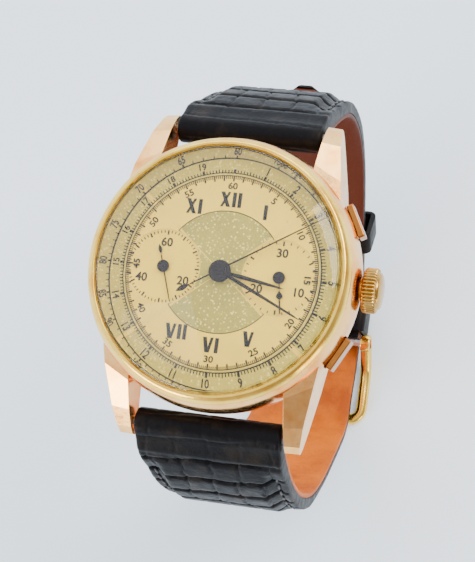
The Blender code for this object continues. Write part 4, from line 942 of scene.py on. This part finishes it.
def leather_half(name, node, route, side, width, pad_end, seed, skive=False, columns=84):
    """The padded black leather of one half, folded round its spring bar and sewn along its edges."""
    length = STEP * (len(route) - 1)
    outward = normals(route, side)
    stations = []
    turns = 26
    for k in range(turns):
        a = radians(200) * (1 - k / turns)
        n = outward[0]
        c, s = cos(a), sin(a) * side
        stations.append((route[0], (n[0] * c - n[1] * s, n[0] * s + n[1] * c), -ROLL_R * a, True))
    stations += [(p, n, i * STEP, False) for i, (p, n) in enumerate(zip(route, outward))]
    bm = bmesh.new()
    rings = []
    for (y, z), (ny, nz), s, rolled in stations:
        half = width(max(s, 0.0)) - 0.04
        low = 0.92 if rolled else max(0.03, sqrt(max(0.0, 0.92 ** 2 - s * s)))
        thick = padding(s, pad_end)
        sewn = ease((s - ROLL_END) / 6.0)
        flat = min(thick, EDGE_HIGH)
        ring = []
        for k in range(columns + 1):
            x = half * sin(pi / 2 * (2 * k / columns - 1)) * 0.35 + half * (2 * k / columns - 1) * 0.65
            inset = half - abs(x)
            rise = ease((inset - 1.6) / 1.7)
            high = ROLL_R if s <= 0 else (flat + (thick - flat) * rise) * sewn + (1 - sewn) * (
                ROLL_R + (min(thick, 2.5) - ROLL_R) * ease(s / 3))
            edge = 0.42 * (1 - sqrt(max(0.0, 1 - (1 - min(inset / 0.55, 1.0)) ** 2)))
            seam = (0.12 * crease(s - ROLL_END, 0.3)
                    + 0.22 * sewn * crease(inset - 1.25, 0.32) * (s < length - 1.5))
            dip = grain(s, x, seed) * (0.3 if s < ROLL_END else 1.0) * min(inset / 0.8, 1.0)
            if skive:
                high = min(high, 0.55 + (high - 0.55) * ease((length - s) / 5.0))
            high = max(high - edge - seam - dip, low + 0.25)
            ring.append(bm.verts.new((x, y + ny * high, z + nz * high)))
        for k in (1.0, 0.5, 0.0, -0.5, -1.0):
            ring.append(bm.verts.new((half * k, y + ny * low, z + nz * low)))
        rings.append(ring)
    loft(bm, rings)
    obj = make(name, bm, LEATHER, "root", [node], base=at_floor(), sharp=60)
    return obj


def lining_half(name, node, route, side, width, start, stop):
    """The thin tan lining under the leather, with rounded edges."""
    outward = normals(route, side)
    bm = bmesh.new()
    rings = []
    for i in range(round(start / STEP), len(route) - round(stop / STEP), 2):
        (y, z), (ny, nz) = route[i], outward[i]
        half = width(i * STEP) - 0.05
        soft = 0.03 * noise.noise(Vector((i * 0.05, side, 1.3)))
        profile = [(-1, -0.06, -0.03), (-0.5, 0, -0.03), (0, 0, -0.03), (0.5, 0, -0.03), (1, -0.06, -0.03),
                   (1, 0, -0.16), (1, 0, -LINING + 0.2), (1, -0.07, -LINING + 0.06), (1, -0.22, -LINING)]
        profile += [(k / 6, 0, -LINING + soft * (1 - (k / 6) ** 2)) for k in range(5, -6, -1)]
        profile += [(-1, -0.22, -LINING), (-1, -0.07, -LINING + 0.06), (-1, 0, -LINING + 0.2), (-1, 0, -0.16)]
        rings.append([bm.verts.new((half * k + (inset if k > 0 else -inset), y + ny * h, z + nz * h))
                      for k, inset, h in profile])
    loft(bm, rings)
    return make(name, bm, TAN, "root", [node], base=at_floor(), sharp=60)


def stitches(name, route, side, width, start, stop, pad_end, inset=1.3):
    """Waxed thread along both edges, one small slug for each stitch."""
    pitch, long, radius = 2.3, 1.75, 0.19
    outward = normals(route, side)
    parts = []
    place = start
    while place < stop:
        i = round(place / STEP)
        (y, z), (ny, nz) = route[i], outward[i]
        high = min(padding(place, pad_end), EDGE_HIGH) - 0.1
        for edge in (-1, 1):
            x = edge * (width(place) - inset)
            ahead = Vector((0, nz, -ny)) * side
            up = Vector((0, ny, nz))
            across = up.cross(ahead)
            shell = bmesh.new()
            bmesh.ops.create_uvsphere(shell, u_segments=8, v_segments=7, radius=1.0)
            frame_of = Matrix((across, ahead, up)).transposed().to_4x4()
            spread = Matrix.Diagonal((radius, long / 2, radius, 1))
            lean = Matrix.Rotation(edge * 0.08, 4, "Z")
            centre = Matrix.Translation((x, y + ny * high, z + nz * high))
            parts.append(moved(shell, centre @ frame_of @ lean @ spread))
        place += pitch
    make(name, merge(*parts), THREAD, "root", (), base=at_floor(), sharp=80)


def punch(route, side, distance, radius, count=20):
    i = round(distance / STEP)
    (y, z), (ny, nz) = route[i], normals(route, side)[i]
    tilt = Vector((0, 0, 1)).rotation_difference(Vector((0, ny, nz))).to_matrix().to_4x4()
    return moved(prism(circle((0, 0), radius, count), -3.0, 3.0), Matrix.Translation(Vector((0, y, z))) @ tilt)


def strap():
    short = short_route(STEP)
    short_length = STEP * (len(short) - 1)
    leather = leather_half("short_leather", "strap_short", short, 1, half_width, SHORT_LEATHER, 2.5)
    cut(leather, [(block((-1.4, -1.5, 2.5), (1.4, 2.7, 7.5)), at_floor()),
                  (cross_bore(0.8, 11.0, BUCKLE_BAR), at_floor())], "MANIFOLD")
    lining_half("short_lining", "lining_short", short, 1, half_width, 2.8, 2.6)
    stitches("short_stitching", short, 1, half_width, ROLL_END + 1.6, short_length - 4.0, SHORT_LEATHER)

    long = long_route(STEP)
    length = STEP * (len(long) - 1)
    at_tongue = STEP * min(range(len(long)), key=lambda i: hypot(long[i][0] + 3.6, long[i][1] - 2.7))

    def width(s):
        return tail_width(s, length)

    leather = leather_half("long_leather", "strap_long", long, -1, width, TAIL_LEATHER, 8.5, skive=True)
    lining = lining_half("long_lining", "lining_long", long, -1, width, 2.8, 0.0)
    for layer in (leather, lining):
        holes = [(punch(long, -1, at_tongue + HOLE_PITCH * k, 0.9), at_floor()) for k in (-2, 1, 2, 3)]
        cut(layer, [(block((-1.15, -5.8, -1.0), (1.15, -1.2, 6.0)), at_floor()), *holes], "MANIFOLD")
    stitches("long_stitching", long, -1, width, ROLL_END + 1.6, length - 9.5, TAIL_LEATHER)


def keeper(name, node, body, at, way, outer_half):
    """A leather loop with rolled edges round both strap layers."""
    low, high, wall, wide = -LINING - 0.3, LAYER_STEP + TAIL_LEATHER + 0.15, 1.0, 4.0
    middle_half = outer_half - 0.575
    bottom, top = low - (wall - 0.2) / 2, high + wall / 2
    corner = 0.75
    path = []
    for cx, cz, start in ((middle_half, top, 0), (-middle_half, top, 90), (-middle_half, bottom, 180),
                          (middle_half, bottom, 270)):
        for k in range(7):
            a = radians(start + 90 * k / 6)
            path.append((cx - corner * (1 if cx > 0 else -1) + corner * cos(a),
                         cz - corner * (1 if cz > 0.5 * (low + high) else -1) + corner * sin(a)))
    outward = (way[1], -way[0])
    section = soften([(-wide / 2, -0.38), (wide / 2, -0.38), (wide / 2, 0.42), (-wide / 2, 0.42)], 0.24, 4)
    bm = bmesh.new()
    rings = []
    count = len(path)
    for i, (x, h) in enumerate(path):
        a, b = path[i - 1], path[(i + 1) % count]
        size = hypot(b[0] - a[0], b[1] - a[1])
        nx, nh = (b[1] - a[1]) / size, -(b[0] - a[0]) / size
        ring = []
        for along, lift in section:
            px, ph = x + nx * lift, h + nh * lift
            ring.append(bm.verts.new((px, at[0] + way[0] * along + outward[0] * ph,
                                      at[1] + way[1] * along + outward[1] * ph)))
        rings.append(ring)
    loft(bm, rings + rings[:1], caps=False)
    make(name, bm, LEATHER, body, [node], base=at_floor(), sharp=50)


def keepers():
    keeper("sewn_keeper", "fixed_keeper", "root", (4.75, 4.75), (1.0, 0.0), 9.15)
    at = tuple(start + way * FREE_KEEPER_UP for start, way in zip(STRAIGHT_START, STRAIGHT_WAY))
    keeper("loose_keeper", "free_keeper", "free_keeper", at, STRAIGHT_WAY, 10.3)


# ---------------------------------------------------------------- buckle
def smooth_path(points, count=8):
    """Catmull-Rom points through a path in space."""
    pts = [Vector(p) for p in (points[0], *points, points[-1])]
    out = []
    for a, b, c, d in zip(pts, pts[1:], pts[2:], pts[3:]):
        for k in range(count):
            t = k / count
            out.append(0.5 * (2 * b + (c - a) * t + (2 * a - 5 * b + 4 * c - d) * t * t
                              + (3 * b - a - 3 * c + d) * t ** 3))
    out.append(pts[-1])
    return out


def buckle():
    """Bent-wire frame with flat eyelets, its bar, and a hooked tongue."""
    rail_x, section, front_y, corner = 9.5, 0.93, -11.7, 1.9
    bar_y, bar_z = BUCKLE_BAR
    low = 0.95
    side = [(rail_x, bar_y - 0.3, bar_z - 0.4), (rail_x, -0.6, 3.4), (rail_x, -1.9, 2.25), (rail_x, -3.4, 1.25),
            (rail_x, -5.2, low), (rail_x, -7.5, low), (rail_x, front_y + corner, low)]
    bend = [(rail_x - corner + corner * cos(a), front_y + corner - corner * sin(a), low)
            for a in (radians(30), radians(60), radians(90))]
    right = [*side, *bend]
    path = smooth_path([*right, (3.0, front_y, low), (0.0, front_y, low), (-3.0, front_y, low),
                        *[(-x, y, z) for x, y, z in right[::-1]]], 5)
    frame_part = tube(path, section, section, 24, Vector((0, 0, 1)))
    eyelet = soften([(0.8, -0.78), (1.42, -0.78), (1.42, 0.78), (0.8, 0.78)], [0.03, 0.2, 0.2, 0.03], 4)
    ears = [turned(eyelet, 40, "X", (sign * rail_x, bar_y, bar_z)) for sign in (-1, 1)]
    obj = make("wire_frame", frame_part, YELLOW, "buckle_frame", ["buckle_frame"],
               base=at_floor(), sharp=70)
    cut(obj, [(cross_bore(0.8, 10.6, BUCKLE_BAR), at_floor()),
              (block((-1.2, -14.0, 0.9), (1.2, -10.0, 2.5)), at_floor())])
    make("frame_eyelets", merge(*ears), YELLOW, "buckle_frame", (), base=at_floor(), sharp=50)
    rod = soften([(0, -9.7), (0.7, -9.7), (0.7, 9.7), (0, 9.7)], [0, 0.15, 0.15, 0], 3)
    make("bar_pin", turned(rod, 32, "X", (0, *BUCKLE_BAR)), POLISHED, "root", ["buckle_bar"],
         base=at_floor(), sharp=50)
    shank = smooth_path([(0, bar_y - 1.0, bar_z - 0.5), (0, -1.6, 4.0), (0, -3.1, 2.85), (0, -4.6, 1.35),
                         (0, -6.0, 0.75), (0, -9.0, 0.6), (0, -12.5, 0.6)], 6)
    sleeve = soften([(0.79, -1.05), (1.28, -1.05), (1.28, 1.05), (0.79, 1.05)], [0.03, 0.18, 0.18, 0.03], 4)
    tongue = merge(tube(shank, 0.55, 0.36, 20, Vector((1, 0, 0))), turned(sleeve, 40, "X", (0, bar_y, bar_z)))
    make("hooked_tongue", tongue, YELLOW, "buckle_tongue", ["buckle_tongue"],
         base=at_floor(), sharp=60)


# ---------------------------------------------------------------- hidden works
def finish_works():
    """Finishes for the CAD pieces that stay: the movement, stem, tube and spring bars."""
    finish = {
        NICKEL: ["mainplate", "barrel_bridge", "train_bridge", "balance_cock", "pallet_bridge",
                 "chronograph_bridge"],
        GILT: ["movement_ring", "hour_wheel", "minute_wheel", "centre_wheel", "third_wheel", "fourth_wheel",
               "barrel_drum", "balance_wheel", "chronograph_wheel", "minute_recorder_wheel",
               "recorder_intermediate_wheel", "coupling_wheel"],
        YELLOW: ["crown_tube"],
        SPRING: ["hairspring"],
        POLISHED: ["spring_bar_12", "spring_bar_6", "winding_stem", "clutch_wheel", "winding_pinion",
                   "crown_wheel", "ratchet_wheel", "click", "barrel_arbor", "mainspring", "setting_lever",
                   "cannon_pinion", "escape_wheel", "pallet_fork", "coupling_lever", "operating_lever",
                   "chronograph_cam", "hammer"]}
    for mat, names in finish.items():
        for name in names:
            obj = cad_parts[name]
            obj.data.materials.clear()
            obj.data.materials.append(mat)


# ---------------------------------------------------------------- studio
CAMERA_AT = (55.619, -33.879, 214.114)        # from the middle of the dial
CAMERA_BACK, CAMERA_UP = (0.2388, -0.1477, 0.9598), (-0.1009, 0.9793, 0.1758)
LENS = 108.9


def studio():
    """A pale floor, soft lamps and the camera."""
    g = Graph("pale_floor")
    g.set(Base_Color=g.mix(g.noise(6, 2.0), (0.80, 0.91, 1.0), (0.82, 0.92, 1.0)), Roughness=0.75,
          Emission_Color=(0.72, 0.86, 1.0), Emission_Strength=0.3)
    bm = bmesh.new()
    bmesh.ops.create_grid(bm, x_segments=2, y_segments=2, size=1500)
    floor_plane = make("floor", bm, g.mat, None, base=Vector((0, 0, FLOOR - 0.05)))

    world = bpy.data.worlds.new("soft_sky")
    world.use_nodes = True
    tree = world.node_tree
    back = tree.nodes["Background"]
    coords = tree.nodes.new("ShaderNodeTexCoord")
    split = tree.nodes.new("ShaderNodeSeparateXYZ")
    tree.links.new(coords.outputs["Generated"], split.inputs[0])
    shades = (  # axis, stops of (direction, colour)
        (2, ((0.62, (0.90, 0.92, 0.98)), (0.97, (0.52, 0.54, 0.60)))),
        (1, ((0.1, (0.30, 0.27, 0.25)), (0.52, (1.0, 1.0, 1.0)))),
        (0, ((0.60, (1.0, 1.0, 1.0)), (0.92, (0.30, 0.26, 0.22)))))
    colour = None
    for axis, stops in shades:
        half = tree.nodes.new("ShaderNodeMath")
        half.operation = "MULTIPLY_ADD"
        half.inputs[1].default_value, half.inputs[2].default_value = 0.5, 0.5
        tree.links.new(split.outputs[axis], half.inputs[0])
        ramp = tree.nodes.new("ShaderNodeValToRGB")
        for element, (position, value) in zip(ramp.color_ramp.elements, stops):
            element.position, element.color = position, (*value, 1.0)
        tree.links.new(half.outputs[0], ramp.inputs["Fac"])
        if colour is None:
            colour = ramp.outputs["Color"]
            continue
        product = tree.nodes.new("ShaderNodeMix")
        product.data_type, product.blend_type = "RGBA", "MULTIPLY"
        product.inputs["Factor"].default_value = 1.0
        tree.links.new(colour, product.inputs[6])
        tree.links.new(ramp.outputs["Color"], product.inputs[7])
        colour = product.outputs[2]
    tree.links.new(colour, back.inputs["Color"])
    back.inputs["Strength"].default_value = 2.9
    bpy.context.scene.world = world

    lamps = (  # name, place, aim, size, power, colour
        ("window", (-290, -95, 560), (0, 0, 0), (170, 260), 0.15, (1.0, 1.0, 1.0)),
        ("key", (420, 330, 520), (0, 0, 0), (420, 420), 5.6, (1.0, 0.95, 0.87)),
        ("back", (-60, 620, 160), (0, 0, 0), (700, 160), 1.6, (1.0, 0.98, 0.95)),
        ("low_front", (-420, -560, 200), (0, 0, -20), (420, 260), 4.5, (1.0, 0.96, 0.92)),
        ("side", (520, -420, -20), (0, 0, -50), (220, 220), 0.9, (1.0, 0.94, 0.85)))
    for name, place, aim, size, power, colour in lamps:
        lamp = bpy.data.lights.new(name, "AREA")
        lamp.shape, lamp.size, lamp.size_y = "RECTANGLE", size[0] * MM, size[1] * MM
        lamp.energy, lamp.color = power, colour
        obj = bpy.data.objects.new(name, lamp)
        obj.location = Vector(place) * MM
        obj.rotation_mode = "QUATERNION"
        obj.rotation_quaternion = (Vector(aim) - Vector(place)).to_track_quat("-Z", "Y")
        bpy.context.scene.collection.objects.link(obj)

    camera = bpy.data.cameras.new("camera")
    camera.lens, camera.sensor_width = LENS, 36.0
    camera.clip_start, camera.clip_end = 0.01, 10.0
    back_way, up_way = Vector(CAMERA_BACK), Vector(CAMERA_UP)
    right_way = up_way.cross(back_way).normalized()
    up_way = back_way.cross(right_way).normalized()
    holder = bpy.data.objects.new("camera", camera)
    turn = Matrix((right_way, up_way, back_way.normalized())).transposed().to_4x4()
    holder.matrix_world = Matrix.Translation(at_head(*CAMERA_AT) * MM) @ turn
    bpy.context.scene.collection.objects.link(holder)
    bpy.context.scene.camera = holder


band()
lugs()
shell()
crown()
pushers()
dial()
printing()
hands()
strap()
keepers()
buckle()
finish_works()
studio()
